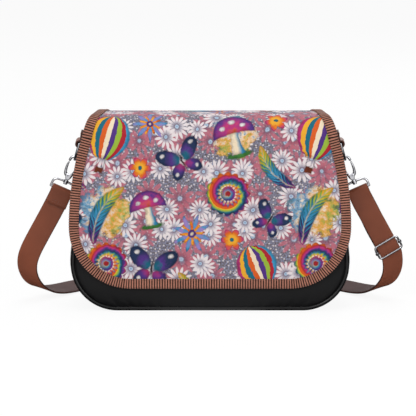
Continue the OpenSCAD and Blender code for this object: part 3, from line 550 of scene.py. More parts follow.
def depth_in(x, v, inset):
    """Distance of a point inside the body's outline from that outline."""
    s = sizes()
    middle = s.body_width / 2 - s.corner_radius
    if v < s.corner_radius and abs(x) > middle:
        return s.corner_radius - inset - math.hypot(abs(x) - middle, s.corner_radius - v)
    return min(v - inset, (side_x(v, inset) - abs(x)) * math.cos(s.side_slope))


def body_stations(inset, top, arc_steps, side_steps):
    """Half widths and heights of the outline, from its lowest line up."""
    s = sizes()
    reach = s.corner_radius - inset
    middle = s.body_width / 2 - s.corner_radius
    rows = []
    for i in range(arc_steps + 1):
        angle = -math.pi / 2 + (math.pi / 2 + s.side_slope) * i / arc_steps
        rows.append((middle + reach * math.cos(angle), s.corner_radius + reach * math.sin(angle)))
    low = rows[-1][1]
    for i in range(1, side_steps + 1):
        v = low + (top - low) * i / side_steps
        rows.append((side_x(v, inset), v))
    return rows


def body_line(inset, top, arc_steps=16, side_steps=16, base_steps=24):
    """Whole outline as (x, v) points, from the upper left round the base to the upper right."""
    rows = body_stations(inset, top, arc_steps, side_steps)
    left = [(-half, v) for half, v in reversed(rows)]
    base = [(-rows[0][0] + 2 * rows[0][0] * i / base_steps, rows[0][1]) for i in range(1, base_steps)]
    return left + base + rows


def panel_top():
    s = sizes()
    return s.mouth_height / math.cos(s.panel_lean)


def swollen(name, mesh):
    """How far each point of a padded sheet, sewn down along its edge, is blown out by the padding under it."""
    data = bpy.data.meshes.new(name)
    mesh.normal_update()
    seam = [vert.index for vert in mesh.verts if vert.is_boundary]
    mesh.to_mesh(data)
    sheet = bpy.data.objects.new(name, data)
    scene = bpy.context.scene
    scene.collection.objects.link(sheet)
    sheet.vertex_groups.new(name="seam").add(seam, 1.0, "REPLACE")
    cloth = sheet.modifiers.new("padding", "CLOTH")
    cloth.settings.vertex_group_mass = "seam"
    cloth.settings.use_pressure = True
    cloth.settings.uniform_pressure_force = PADDING_PRESSURE
    cloth.settings.effector_weights.gravity = 0.0
    cloth.settings.shrink_min = -0.004
    cloth.point_cache.frame_end = PADDING_FRAMES
    for frame_number in range(1, PADDING_FRAMES + 1):
        scene.frame_set(frame_number)
    blown = sheet.evaluated_get(bpy.context.evaluated_depsgraph_get()).data
    rise = [(blown.vertices[v.index].co - v.co).dot(v.normal) for v in mesh.verts]
    scene.frame_set(1)
    bpy.data.objects.remove(sheet)
    bpy.data.meshes.remove(data)
    return rise


def make_panel(name, node, back):
    s = sizes()
    inset = 2 * s.piping_radius - 0.0004
    rows = body_stations(inset, panel_top(), 22, 34)
    mesh = row_sheet(rows, 84, lambda x, v: panel_place(x, v, s.panel_thickness, back))
    out = panel_place(0, 0, 1, back) - panel_place(0, 0, 0, back)
    mesh.normal_update()
    if sum(face.normal.dot(out) for face in mesh.faces) < 0:
        bmesh.ops.reverse_faces(mesh, faces=mesh.faces[:])
    flat = panel_place(0, 0, 0, back)
    blown = swollen(name + "_padding", mesh)
    for index, vert in enumerate(mesh.verts):
        x, v = vert.co.x, (vert.co - flat).dot(panel_place(0, 1, 0, back) - flat)
        depth = max(0.0, depth_in(x, v, inset))
        # The padding lies loose at the base and is held flat under the flap and along the mouth
        soft = 1.0 if back else 0.35 + 0.65 * max(0.0, min(1.0, (0.040 - v) / 0.020))
        held = soft * (0.3 + 0.7 * min(1.0, (panel_top() - v) / 0.03))
        full = math.tanh(blown[index] / PADDING_RISE) if blown else 1 - (1 - min(1.0, depth / 0.024)) ** 2
        crease = 0.00018 * noise.noise(Vector((x * 22, v * 30, 3.0 if back else 0.0))) * min(1.0, depth / 0.01)
        vert.co += out * held * (s.panel_puff * full + crease)
    piece = keep(mesh, name, finish("coated_leather_black"), "bag", "black_leather")
    thicken(piece, s.panel_thickness)
    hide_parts(node)
    return piece


def make_gusset():
    s = sizes()
    line = body_line(0.0, s.mouth_height, 20, 26, 40)
    seam_out = s.panel_thickness / 2 - s.piping_radius - 0.0001
    columns = 20

    def place(a, b):
        i = round(b * (len(line) - 1))
        x, z = line[i]
        before, after = line[max(i - 1, 0)], line[min(i + 1, len(line) - 1)]
        along = Vector((after[0] - before[0], after[1] - before[1])).normalized()
        out = Vector((along.y, -along.x))
        t = 2 * a - 1
        rise = max(0.0, min(1.0, (z - 0.012) / 0.03)) * max(0.0, min(1.0, (0.140 - z) / 0.04))
        puff = 0.0016 * (1 - t * t) * rise
        puff += 0.0003 * rise * noise.noise(Vector((t * 2, z * 40, 5.0 + math.copysign(1, x))))
        y = t * plane_y(seam_out, z)
        return Vector((x + out.x * puff, y, z + out.y * puff))

    mesh = sheet_mesh(columns, len(line) - 1, place, lambda a, b: (a * 0.09, b * 0.6))
    piece = keep(mesh, "gusset_skin", finish("coated_leather_black"), "bag", "black_leather", away_from=INSIDE)
    thicken(piece, s.gusset_thickness)
    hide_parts("gusset")
    return piece


def make_piping(name, node, back):
    s = sizes()
    line = body_line(s.piping_radius, panel_top(), 26, 20, 40)
    out = s.panel_thickness / 2
    wide = panel_place(0, 0, 1, back) - panel_place(0, 0, 0, back)
    stops = [(panel_place(x, v, out, back), wide) for x, v in line]
    mesh = sweep_mesh(stops, ring_section(s.piping_radius, 14))
    piece = keep(mesh, name, finish("coated_leather_piping"), "bag", "piping")
    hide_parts(node)
    return piece


def make_mouth_rim():
    low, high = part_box("mouth_rim")
    half_w, half_d, z = high.x, high.y, (low.z + high.z) / 2
    radius = 0.004
    thick, tall = 0.0034, high.z - low.z
    stops = []
    corners = ((1, 1, 0), (-1, 1, 90), (-1, -1, 180), (1, -1, 270))
    for sx, sy, start in corners:
        for step in range(7):
            angle = math.radians(start + 15 * step)
            middle = Vector((sx * (half_w - radius), sy * (half_d - radius), z))
            edge = radius - thick / 2
            stops.append((middle + Vector((math.cos(angle), math.sin(angle), 0)) * edge, Vector((0, 0, 1))))
    around = []
    for (a, wide), (b, _) in zip(stops, stops[1:] + stops[:1]):
        parts = max(1, round((b - a).length / 0.008))
        around += [(a.lerp(b, k / parts), wide) for k in range(parts)]
    around.append(around[0])
    section = band_section(tall, thick, 0.0012, 2)
    mesh = sweep_mesh(around, section, capped=False)
    bmesh.ops.remove_doubles(mesh, verts=mesh.verts[:], dist=1e-5)
    bmesh.ops.recalc_face_normals(mesh, faces=mesh.faces[:])
    piece = keep(mesh, "mouth_rim_strip", finish("coated_leather_piping"), "bag", "piping")
    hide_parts("mouth_rim")
    return piece


# ---------------------------------------------------------------- shapes of the flap


def flap_levels():
    s = sizes()
    thick = s.cover_thickness + s.flap_lining
    front_mid = s.panel_thickness + s.flap_stand + thick / 2
    back_mid = s.panel_thickness + s.binding_thickness + 0.0002 + thick / 2
    front_fold = (s.fold_height - front_mid * math.sin(s.panel_lean)) / math.cos(s.panel_lean)
    back_fold = (s.fold_height - back_mid * math.sin(s.panel_lean)) / math.cos(s.panel_lean)
    return thick, front_mid, back_mid, front_fold, back_fold


def flap_path():
    """Lengths along the flap, from its lower edge over the top to its tail."""
    s = sizes()
    _, front_mid, back_mid, front_fold, _ = flap_levels()
    bend = s.bend_radius * (math.pi / 2 - s.panel_lean)
    front_y = plane_y(front_mid, s.fold_height) - s.bend_radius * math.cos(s.panel_lean)
    back_y = plane_y(back_mid, s.fold_height) - s.bend_radius * math.cos(s.panel_lean)
    first = front_fold
    second = first + bend
    third = second + front_y + back_y
    fourth = third + bend
    return first, second, third, fourth, front_y, back_y


def flap_place(x, s_along, rise):
    """Point of the flap: x across, s along from the base line, rise outwards from its middle surface."""
    s = sizes()
    _, front_mid, back_mid, _, back_fold = flap_levels()
    first, second, third, fourth, front_y, back_y = flap_path()
    centre_z = s.fold_height - s.bend_radius * math.sin(s.panel_lean)
    if s_along <= first:
        return panel_place(x, s_along, front_mid + rise)
    radius = s.bend_radius + rise
    if s_along <= second:
        angle = s.panel_lean + (s_along - first) / s.bend_radius
        return Vector((x, -front_y - radius * math.cos(angle), centre_z + radius * math.sin(angle)))
    if s_along <= third:
        return Vector((x, -front_y + s_along - second, centre_z + radius))
    if s_along <= fourth:
        angle = s.panel_lean + (fourth - s_along) / s.bend_radius
        return Vector((x, back_y + radius * math.cos(angle), centre_z + radius * math.sin(angle)))
    return panel_place(x, back_fold - (s_along - fourth), back_mid + rise, back=True)


def flap_half(s_along):
    """Half width of the flap's outer edge above its lower corners."""
    s = sizes()
    first, second, third, fourth, _, _ = flap_path()
    half = s.flap_width / 2
    wide = s.flap_bottom + s.flap_corner

    def curved(t):
        return half - s.flap_side + math.sqrt(s.flap_side**2 - (t - wide) ** 2)

    if s_along <= first:
        return curved(s_along)
    fold_half = curved(first)
    if s_along <= second:
        share = (s_along - first) / (second - first)
        return fold_half + (s.top_front_half - fold_half) * share**1.25
    if s_along <= third:
        return s.top_front_half + (s.top_back_half - s.top_front_half) * (s_along - second) / (third - second)
    if s_along <= fourth:
        return s.top_back_half + (s.seam_half - s.top_back_half) * (s_along - third) / (fourth - third)
    return s.seam_half


def flap_rows(part, inset, side_steps=60):
    """Half widths and lengths for a part of the flap: front part, or rear part with the tail."""
    s = sizes()
    _, second, third, fourth, _, _ = flap_path()
    middle = (second + third) / 2
    rows = []
    if part == "front":
        reach = s.flap_corner - inset
        wide = s.flap_bottom + s.flap_corner
        for i in range(23):
            angle = math.pi / 2 * i / 22
            rows.append((s.flap_width / 2 - s.flap_corner + reach * math.sin(angle), wide - reach * math.cos(angle)))
        for i in range(1, side_steps + 1):
            t = wide + (middle - wide) * i / side_steps
            rows.append((flap_half(t) - inset, t))
        return rows
    end = fourth + s.tail_length
    corner = s.binding_width - inset / 2
    for i in range(side_steps + 1):
        t = middle + (end - corner - middle) * i / side_steps
        rows.append((flap_half(t) - inset, t))
    for i in range(1, 9):
        angle = math.pi / 2 * i / 8
        half = s.seam_half - inset - corner * (1 - math.cos(angle))
        rows.append((half, end - corner + (corner - inset) * math.sin(angle)))
    return rows


def flap_sheet(name, part, rise, inset, material, slot, thickness, offset):
    def at(x, t):
        wave = 0.00022 * noise.noise(Vector((x * 18, t * 18, 7.0)))
        return flap_place(x, t, rise + wave)

    mesh = row_sheet(flap_rows(part, inset), 96, at)
    piece = keep(mesh, name, material, None, slot, away_from=INSIDE)
    thicken(piece, thickness, offset)
    return piece


def flap_joins(piece, part):
    """Bakes the placement of a piece of the flap into its mesh; it does not bend the piece across the fold between its
    two bodies.
    """
    first, _, _, fourth, _, _ = flap_path()
    half = FOLD_BLEND
    if part == "front":
        high, low = flap_place(0.0, first + half, 0.0), flap_place(0.0, first - half, 0.0)
        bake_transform(piece)
    else:
        low, high = flap_place(0.0, fourth + half, 0.0), flap_place(0.0, fourth - half, 0.0)
        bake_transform(piece)


def flap_edge(part, inset):
    """The flap's edge in its flat pattern, as (x, s) points about half a millimetre apart."""
    rows = flap_rows(part, inset, 120)
    if part == "front":
        low = [(-rows[0][0] + 2 * rows[0][0] * i / 80, rows[0][1]) for i in range(1, 80)]
        line = [(-h, t) for h, t in reversed(rows)] + low + rows
    else:
        low = [(rows[-1][0] - 2 * rows[-1][0] * i / 80, rows[-1][1]) for i in range(1, 80)]
        line = rows + low + [(-h, t) for h, t in reversed(rows)]
    return [Vector(p) for p in line]


def resampled(line, step):
    """The same line with points at even steps."""
    total = sum((b - a).length for a, b in zip(line, line[1:]))
    count = round(total / step)
    step = total / count
    points = [line[0].copy()]
    travel, i, need = 0.0, 0, step
    while len(points) < count:
        a, b = line[i], line[i + 1]
        span = (b - a).length
        if travel + span >= need:
            points.append(a.lerp(b, (need - travel) / span))
            need += step
        else:
            travel += span
            i += 1
    points.append(line[-1].copy())
    return points


def flap_binding(part, name):
    s = sizes()
    thick, _, _, _, _ = flap_levels()
    line = resampled(flap_edge(part, 0.0), s.rib_pitch / 4)
    reach = thick / 2 + 0.0001
    outer = reach + s.binding_thickness
    width = s.binding_width
    nose = [(outer - outer * math.cos(math.radians(a)), outer * math.sin(math.radians(a))) for a in (90, 60, 30, 0)]
    section = [(width, reach), (width, outer - 0.0003), (width - 0.0003, outer)]
    section += [(width * share, outer) for share in (0.8, 0.6, 0.4)]
    section += nose + [(e, -r) for e, r in reversed(nose[:-1])]
    section += [(width * share, -outer) for share in (0.4, 0.6, 0.8)]
    section += [(width - 0.0003, -outer), (width, -outer + 0.0003), (width, -reach)]
    last = len(line) - 1
    girth = [0.0]
    for (a, b), (c, d) in zip(section, section[1:]):
        girth.append(girth[-1] + math.hypot(c - a, d - b))
    inward = []
    for i in range(len(line)):
        run = (line[min(i + 1, last)] - line[max(i - 1, 0)]).normalized()
        inward.append(Vector((-run.y, run.x)))

    def place(a, b):
        i = round(b * last)
        depth, rise = section[round(a * (len(section) - 1))]
        rib = s.rib_height * (0.5 + 0.5 * math.cos(math.pi * i / 2)) - s.rib_height / 2
        if abs(rise) <= outer - 0.0004 and depth > width / 2:
            rib = 0.0
        grown = rise + math.copysign(rib, rise) * (1.0 if abs(rise) > outer * 0.6 else 0.4)
        flat = line[i] + inward[i] * (depth - (rib if depth < 0.001 else 0.0))
        return flap_place(flat.x, flat.y, grown)

    def pattern(a, b):
        return girth[round(a * (len(section) - 1))], round(b * last) * s.rib_pitch / 4

    mesh = sheet_mesh(len(section) - 1, last, place, pattern)
    piece = keep(mesh, name, finish("ribbed_webbing_brown"), None, "webbing")
    thicken(piece, s.binding_thickness - 0.0002)
    flap_joins(piece, part)
    row = [line[i] + inward[i] * (width - 0.0014) for i in range(0, last + 1, 4)]
    places = [flap_place(p.x, p.y, outer + s.rib_height / 2) for p in row]
    lines = stitches_along(places, BINDING_STITCH_PITCH, s.stitch_length / 2)
    flap_joins(sew(lines, name + "_stitches", None, "webbing"), part)
    return piece


# ---------------------------------------------------------------- strap and hardware places

MM = 0.001
TAB_W, TAB_T, TAB_BORE, TAB_L = 22 * MM, 1.9 * MM, 2.3 * MM, 12 * MM
TAB_H = 164 * MM
RING_DROP, RING_WIRE, RING_TILT = 17.8 * MM, 1.5 * MM, math.radians(16)
CLIP_TILT = math.radians(24)
CROWN_R, HOOK_WIRE, HOOK_DROP = 5.2 * MM, 1.4 * MM, 20.3 * MM
EYE_WIRE, EYE_BAR = 1.2 * MM, 32 * MM
STRAP_REACH, STRAP_BACK, STRAP_LIE = 187.3 * MM, 98.5 * MM, 4.3 * MM
STRAP_TAB = 17 * MM
STRAIGHT = 13 * MM
RUN_TURN = 10
LIE_SHARE = 0.038
BAR_R, ADJUSTER_H, FOLD_END = 1.2 * MM, 16 * MM, 15 * MM
ADJUSTER_RISE = 3 * MM
SEWN, RUN_GAP = 0.1 * MM, 0.3 * MM
HOOK_BODY_T, GATE_T, KNUCKLE_R = 5.4 * MM, 2.8 * MM, 1.08 * MM
POST_R, HEAD_R, HEAD_H, POST_END = 1.3 * MM, 2.1 * MM, 1.2 * MM, -24.2 * MM
# The crown's wire is a little thinner than the limb's, so that it stays clear of the ring
CROWN_SHARE = 0.95
# Outlines on a hook, as shares of its crown radius and of its drop
HOOK_BODY = (
    (-0.62, -0.86), (-0.34, -1.0), (0.34, -1.0), (0.42, -0.93), (0.66, -0.80),
    (0.55, -0.68), (-0.25, -0.68), (-0.55, -0.60), (-0.80, -0.66),
)
HOOK_CORE = (
    (-0.62, -0.86), (-0.34, -1.0), (0.34, -1.0), (0.42, -0.93),
    (-0.22, -0.92), (-0.22, -0.68), (-0.55, -0.60), (-0.80, -0.66),
)
# Middle line of a gate in the same shares, with its half depth and half width in millimetres
GATE_LINE = (
    (1.01, -0.14, 1.15, 0.85), (1.045, -0.28, 1.35, 1.15), (0.99, -0.49, 1.4, 1.35), (0.80, -0.69, 1.4, 1.55),
    (0.53, -0.785, 1.4, 1.6), (0.40, -0.79, 1.4, 1.45),
)
ROUTE = (
    (0.9935, 0.0575, 0.403, 10, 24), (0.999, 0.070, 0.345, 19, 13), (1.000, 0.086, 0.300, 26, 5),
    (0.994, 0.118, 0.232, 30, 2), (0.975, 0.160, 0.158, 32, 4), (0.940, 0.218, 0.098, 32, 8),
    (0.895, 0.300, 0.062, 31, 13), (0.838, 0.420, 0.045, 32, 16), (0.770, 0.600, 0.040, 35, 17),
    (0.690, 0.790, 0.038, 46, 17), (0.590, 0.910, 0.038, 63, 17), (0.450, 0.970, 0.038, 78, 17),
    (0.300, 0.992, 0.038, 86, 17), (0.150, 1.000, 0.038, 89, 17),
)


def tab_out():
    return TAB_BORE + TAB_T + SEWN


def tab_x():
    return side_x(TAB_H, 0.0) + tab_out() / math.cos(sizes().side_slope)


def tab_point(side, y, u, v):
    """Point on a tab: y across it, u out from the side of the body and v up along it."""
    slope = sizes().side_slope
    x = tab_x() + u * math.cos(slope) - v * math.sin(slope)
    return Vector((side * x, y, TAB_H + u * math.sin(slope) + v * math.cos(slope)))


def hook_origin():
    x = tab_x() + RING_DROP * math.sin(RING_TILT)
    z = TAB_H - RING_DROP * math.cos(RING_TILT) - (CROWN_R - HOOK_WIRE - RING_WIRE - RUN_GAP)
    return x, z


def clip_point(side, u, depth, v):
    """Point in the picture plane of a hook: u to the outside, v up along the hook."""
    x, z = hook_origin()
    c, n = math.cos(CLIP_TILT), math.sin(CLIP_TILT)
    return Vector((side * (x + u * c - v * n), depth, z + u * n + v * c))


def turned(side, around, rise):
    a, r = math.radians(around), math.radians(rise)
    return Vector((side * math.cos(a) * math.cos(r), math.sin(a) * math.cos(r), math.sin(r)))


def layer_y():
    return sizes().strap_thickness / 2 + SEWN


def wrap_r():
    return EYE_WIRE + SEWN + sizes().strap_thickness / 2


def route_point(side, row):
    bar_z = clip_point(1, 0, 0, -EYE_BAR).z
    height = STRAP_LIE + (row[2] - LIE_SHARE) * (bar_z - STRAP_LIE) / (1 - LIE_SHARE)
    return Vector((side * row[0] * STRAP_REACH, row[1] * STRAP_BACK, height)), turned(side, row[3], row[4])


def run_start(side):
    return (
        clip_point(side, 0, -side * layer_y(), -EYE_BAR - STRAIGHT),
        turned(side, RUN_TURN, math.degrees(CLIP_TILT)),
    )


def eye_stop(side, depth, v):
    """Stop of the strap by a hook's eye, square to the hook."""
    return clip_point(side, 0, depth, v), turned(side, 0, math.degrees(CLIP_TILT))


def bar_turn(side, steps=14):
    """Half turn of the strap round an eye's bar."""
    angles = [math.pi * i / steps for i in range(steps + 1)]
    return [eye_stop(side, -wrap_r() * math.cos(a), -EYE_BAR + wrap_r() * math.sin(a)) for a in angles]


def evened(stops, step):
    """The same path with its stops at even steps."""
    spans = [(b[0] - a[0]).length for a, b in zip(stops, stops[1:])]
    count = round(sum(spans) / step)
    step = sum(spans) / count
    result, i, start = [stops[0]], 0, 0.0
    for k in range(1, count):
        while start + spans[i] < k * step:
            start += spans[i]
            i += 1
        t = (k * step - start) / spans[i]
        result.append((stops[i][0].lerp(stops[i + 1][0], t), stops[i][1].lerp(stops[i + 1][1], t)))
    return result + [stops[-1]]


def eased(stops, rounds, held):
    """Rounds a path off, but for the stops that held(point) picks."""
    for _ in range(rounds):
        middles = [
            (a[0].lerp(c[0], 0.5).lerp(b[0], 0.5), a[1].lerp(c[1], 0.5).lerp(b[1], 0.5))
            for a, b, c in zip(stops, stops[1:], stops[2:])
        ]
        inner = [old if held(old[0]) else new for old, new in zip(stops[1:-1], middles)]
        stops = [stops[0]] + inner + [stops[-1]]
    return stops


def strap_stops():
    """Stops of the whole strap, and how many of them lie before the strap turns over at the left eye."""
    left = [eye_stop(-1, -layer_y(), -EYE_BAR - STRAP_TAB * share) for share in (1.0, 0.85, 0.7, 0.55, 0.4, 0.2)]
    soft = [run_start(-1)] + [route_point(-1, row) for row in ROUTE]
    soft += [(Vector((0, STRAP_BACK, STRAP_LIE)), turned(1, 90, 17))]
    soft += [route_point(1, row) for row in reversed(ROUTE)] + [run_start(1)]
    first, last = left + bar_turn(-1), bar_turn(1)
    last += [eye_stop(1, wrap_r(), -EYE_BAR - sizes().strap_thickness)]
    route = [first[-1], run_start(-1)] + smoothed(soft, 4) + [run_start(1), last[0]]
    eye_z = run_start(-1)[0].z + 5 * MM
    run_z = run_frame()[0].z - ADJUSTER_H / 2
    route = eased(evened(route, 2 * MM), 70, lambda p: p.z > (run_z if p.x > 0 else eye_z))
    return first + route[1:-1] + last, len(first)


def run_frame():
    top, low = run_start(1)[0], route_point(1, ROUTE[0])[0]
    along = (low - top).normalized()
    wide = run_start(1)[1]
    wide = (wide - along * wide.dot(along)).normalized()
    middle = low - along * (ADJUSTER_H / 2 + ADJUSTER_RISE)
    return middle, along, wide, wide.cross(along)


def run_point(y, z, x=0.0):
    """Point in the adjuster's frame: x across the strap, y up along it and z to the front."""
    middle, along, wide, behind = run_frame()
    return middle + wide * x - along * y - behind * z


def make_strap():
    s = sizes()
    section = band_section(s.strap_width, s.strap_thickness, 0.0007, 8)
    leather = finish("coated_leather_brown")
    half = s.strap_thickness / 2
    stops, turned_over = strap_stops()
    mesh = sweep_mesh(stops, section, half_thickness=half, turned_over=turned_over)
    strap = keep(mesh, "strap_band", leather, "strap", "brown_leather")
    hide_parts("strap")
    lines = []
    for row in (2.4 * MM, 4.6 * MM):
        ends = [clip_point(-1, u, -layer_y() - half - 0.0001, -EYE_BAR - STRAP_TAB + row) for u in (-9 * MM, 9 * MM)]
        lines += stitches_along(ends, STITCH_PITCH, s.stitch_length / 2)
    sew(lines, "strap_end_stitches", "strap", "brown_leather")
    bar_z = -(1.5 * s.strap_thickness + RUN_GAP + SEWN + BAR_R)
    wrap = BAR_R + SEWN + s.strap_thickness / 2
    wide = run_frame()[2]
    end = [(run_point(ADJUSTER_H / 2, bar_z + wrap), wide)]
    for i in range(15):
        a = math.pi * i / 14
        end.append((run_point(-wrap * math.sin(a), bar_z + wrap * math.cos(a)), wide))
    end.append((run_point(FOLD_END, bar_z - wrap), wide))
    mesh = sweep_mesh(end, section, half_thickness=half)
    fold = keep(mesh, "strap_end_fold", leather, "adjuster_bar", "brown_leather")
    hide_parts("strap_end")
    top = eye_stop(1, wrap_r(), -EYE_BAR - s.strap_thickness - SEWN)
    near = eye_stop(1, wrap_r(), -EYE_BAR - 4 * s.strap_thickness)
    low = (run_point(FOLD_END + SEWN, bar_z - wrap), wide)
    before = (run_point(FOLD_END + 4 * s.strap_thickness, bar_z - wrap), wide)
    middle = ((top[0] + low[0]) / 2 + Vector((0, s.strap_thickness / 2, 0)), (top[1] + low[1]).normalized())
    stops = [top] + smoothed([top, top, near, middle, before, low, low], 6)[1:]
    mesh = sweep_mesh(stops, section, half_thickness=half)
    rest = keep(mesh, "strap_return_band", leather, None, "brown_leather")
    tuple(before[0])
    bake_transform(rest)
    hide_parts("strap_return")


def make_tabs():
    s = sizes()
    radius = TAB_BORE + TAB_T / 2
    path = [(-radius, TAB_L), (-radius, TAB_L * 0.6), (-radius, TAB_L * 0.25)]
    for i in range(19):
        a = math.pi + (1.62 * math.pi) * i / 18
        path.append((radius * math.cos(a), radius * math.sin(a)))
    path += [(-radius + TAB_T + SEWN, TAB_BORE + TAB_T * 0.9), (-radius + TAB_T + SEWN, TAB_L)]
    section = band_section(TAB_W, TAB_T, 0.0006, 6)
    face = -radius + 1.5 * TAB_T + SEWN + 0.0001
    for side, label in ((-1, "left"), (1, "right")):
        stops = [(tab_point(side, 0.0, u, v), Vector((0, side, 0))) for u, v in path]
        mesh = sweep_mesh(stops, section, half_thickness=TAB_T / 2)
        piece = keep(mesh, label + "_tab_leather", finish("coated_leather_brown"), "bag", "brown_leather")
        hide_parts(label + "_tab")
        lines = []
        for v in (TAB_L - 2 * MM, TAB_L - 4.5 * MM):
            row = [tab_point(side, y, face, v) for y in (-TAB_W * 0.43, TAB_W * 0.43)]
            lines += stitches_along(row, STITCH_PITCH, s.stitch_length / 2)
        sew(lines, label + "_tab_stitches", "bag", "brown_leather")


def clip_plate(side, points, low, high, rounding):
    """Cast plate of a hook between two depths, its rims at the second depth rounded over."""
    mesh = bmesh.new()
    face = mesh.faces.new([mesh.verts.new(clip_point(side, u, low, v)) for u, v in points])
    grown = bmesh.ops.extrude_face_region(mesh, geom=[face], use_keep_orig=True)["geom"]
    verts = [item for item in grown if isinstance(item, bmesh.types.BMVert)]
    bmesh.ops.translate(mesh, verts=verts, vec=(0.0, high - low, 0.0))
    rims = [item for item in grown if isinstance(item, bmesh.types.BMEdge)]
    bmesh.ops.bevel(
        mesh, geom=rims, offset=rounding, offset_type="OFFSET", affect="EDGES", segments=4, profile=0.5, material=-1
    )
    bmesh.ops.recalc_face_normals(mesh, faces=mesh.faces[:])
    return mesh


def clip_sweep(side, rows, steps):
    """Cast limb of a hook along rows of (across, up, half depth, half width), with rounded ends."""
    ahead = Vector(rows[0][:2]) - Vector(rows[1][:2])
    behind = Vector(rows[-1][:2]) - Vector(rows[-2][:2])
    before = (*(Vector(rows[0][:2]) + ahead), *rows[0][2:])
    after = (*(Vector(rows[-1][:2]) + behind), *rows[-1][2:])
    rows = [before] + rows + [after]
    places = smoothed([(Vector((u, v, 0.0)), Vector((d, w, 0.0))) for u, v, d, w in rows], steps)
    first, last = places[0], places[-1]
    nose = []
    for step in range(3):
        angle = math.radians(8 + 26 * step)
        nose.append((math.sin(angle), 1 - math.cos(angle)))

    def rounded(tip, inner, profile):
        way = (tip[0] - inner[0]).normalized()
        return [(tip[0] + way * tip[1].y * (1 - f), tip[1] * r) for r, f in profile]

    places = rounded(first, places[1], nose) + places + rounded(last, places[-2], nose[::-1])
    stops = [(clip_point(side, p.x, 0.0, p.y), Vector((0.0, 1.0, 0.0))) for p, _ in places]
    return sweep_mesh(stops, ring_section(1.0, 18), swell=[(size.x, size.y) for _, size in places])


def clip_rod(side, radius, low, high):
    """Turned post of a hook between two heights, its rims rounded over."""
    mesh = bmesh.new()
    made = bmesh.ops.create_cone(mesh, cap_ends=True, segments=28, radius1=radius, radius2=radius, depth=high - low)
    up = (clip_point(side, 0, 0, 1) - clip_point(side, 0, 0, 0)).normalized()
    turn = up.to_track_quat("Z", "Y").to_matrix().to_4x4()
    middle = clip_point(side, 0, 0, (low + high) / 2)
    bmesh.ops.transform(mesh, matrix=Matrix.Translation(middle) @ turn, verts=made["verts"])
    rims = [edge for edge in mesh.edges if all(len(face.verts) != 3 for face in edge.link_faces) and
            any(len(face.verts) > 4 for face in edge.link_faces)]
    bmesh.ops.bevel(
        mesh, geom=rims, offset=radius * 0.15, offset_type="OFFSET", affect="EDGES", segments=2, profile=0.5,
        material=-1,
    )
    return mesh


def make_hooks():
    """Cast snap hooks: crown and limb in one round sweep, a slotted body, the swivel post and the sprung gate."""
    metal = finish("nickel_plate_polished")
    crown, drop = CROWN_R, HOOK_DROP
    pivot = (0.15 * crown, -0.78 * drop)
    half_gate = GATE_T / 2
    cheek = [(u * crown, v * drop) for u, v in HOOK_BODY]
    core = [(u * crown, v * drop) for u, v in HOOK_CORE]
    arc = [(crown * math.cos(math.radians(a)), crown * math.sin(math.radians(a))) for a in range(-4, 181, 8)]
    limb = [(-5.1 * MM, -4 * MM), (-4.47 * MM, -8.5 * MM), (-3.4 * MM, -12.4 * MM), (-2.3 * MM, -15.6 * MM)]
    frame_rows = [(*place, CROWN_SHARE * HOOK_WIRE, CROWN_SHARE * HOOK_WIRE) for place in arc]
    frame_rows += [(*place, HOOK_WIRE, HOOK_WIRE) for place in limb]
    gate_rows = [(u * crown, v * drop, d * MM, w * MM) for u, v, d, w in GATE_LINE]
    around = [
        (pivot[0] + KNUCKLE_R * math.cos(math.radians(a)), pivot[1] + KNUCKLE_R * math.sin(math.radians(a)))
        for a in range(0, 361, 20)
    ]
    for side, label in ((-1, "left"), (1, "right")):
        plates = [
            clip_plate(side, cheek, sign * (half_gate + SEWN), sign * HOOK_BODY_T / 2, 0.9 * MM) for sign in (-1, 1)
        ]
        middle = clip_plate(side, core, -half_gate - SEWN, half_gate + SEWN, 0.01 * MM)
        post = clip_rod(side, POST_R, POST_END - HEAD_H / 2, -0.9 * drop)
        head = clip_rod(side, HEAD_R, POST_END - HEAD_H, POST_END)
        whole = joined(plates + [middle, clip_sweep(side, frame_rows, 4), post, head])
        piece = keep(whole, label + "_hook_casting", metal, label + "_hook", "nickel")
        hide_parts(label + "_hook")
        ring = [(clip_point(side, u, 0.0, v), Vector((0.0, 1.0, 0.0))) for u, v in around]
        knuckle = sweep_mesh(ring, band_section(GATE_T, 0.64 * MM, 0.12 * MM, 2), capped=False)
        bmesh.ops.remove_doubles(knuckle, verts=knuckle.verts[:], dist=1e-6)
        whole = joined([knuckle, clip_sweep(side, gate_rows, 4)])
        piece = keep(whole, label + "_gate_bar", metal, label + "_gate", "nickel")
        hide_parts(label + "_gate")


def dress_nodes():
    """Gives the rigid solids and the zip their finishes."""
    groups = {
        "nickel_plate_polished": (
            "left_ring", "right_ring", "left_eye", "right_eye", "adjuster_frame", "adjuster_bar", "snap_socket",
            "snap_stud",
        ),
        "spring_steel": ("left_gate_pin", "right_gate_pin", "left_gate_spring", "right_gate_spring"),
        "nickel_plate_satin": ("zip_teeth", "zip_slider", "zip_pull"),
        "woven_zip_tape": ("zip_tape",),
        "woven_bag_lining": ("lining", "pocket_bag"),
        "grey_board": ("base_board",),
    }
    for name, nodes in groups.items():
        for node in nodes:
            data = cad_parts[node].data
            data.materials.clear()
            data.materials.append(finish(name))


# ---------------------------------------------------------------- print

INK = {
    "crimson": "#9c1f2a", "cream": "#d9c8ac", "navy": "#1c2c4c", "sky": "#3584ab", "teal": "#125f72",
    "green": "#376f31", "lime": "#8aa336", "gold": "#d59a2a", "orange": "#c4541c", "rust": "#6a2c15",
    "magenta": "#a72f6a", "violet": "#4a2b74", "lilac": "#8a72ac", "dark": "#22171c", "white": "#e2dcdb",
}


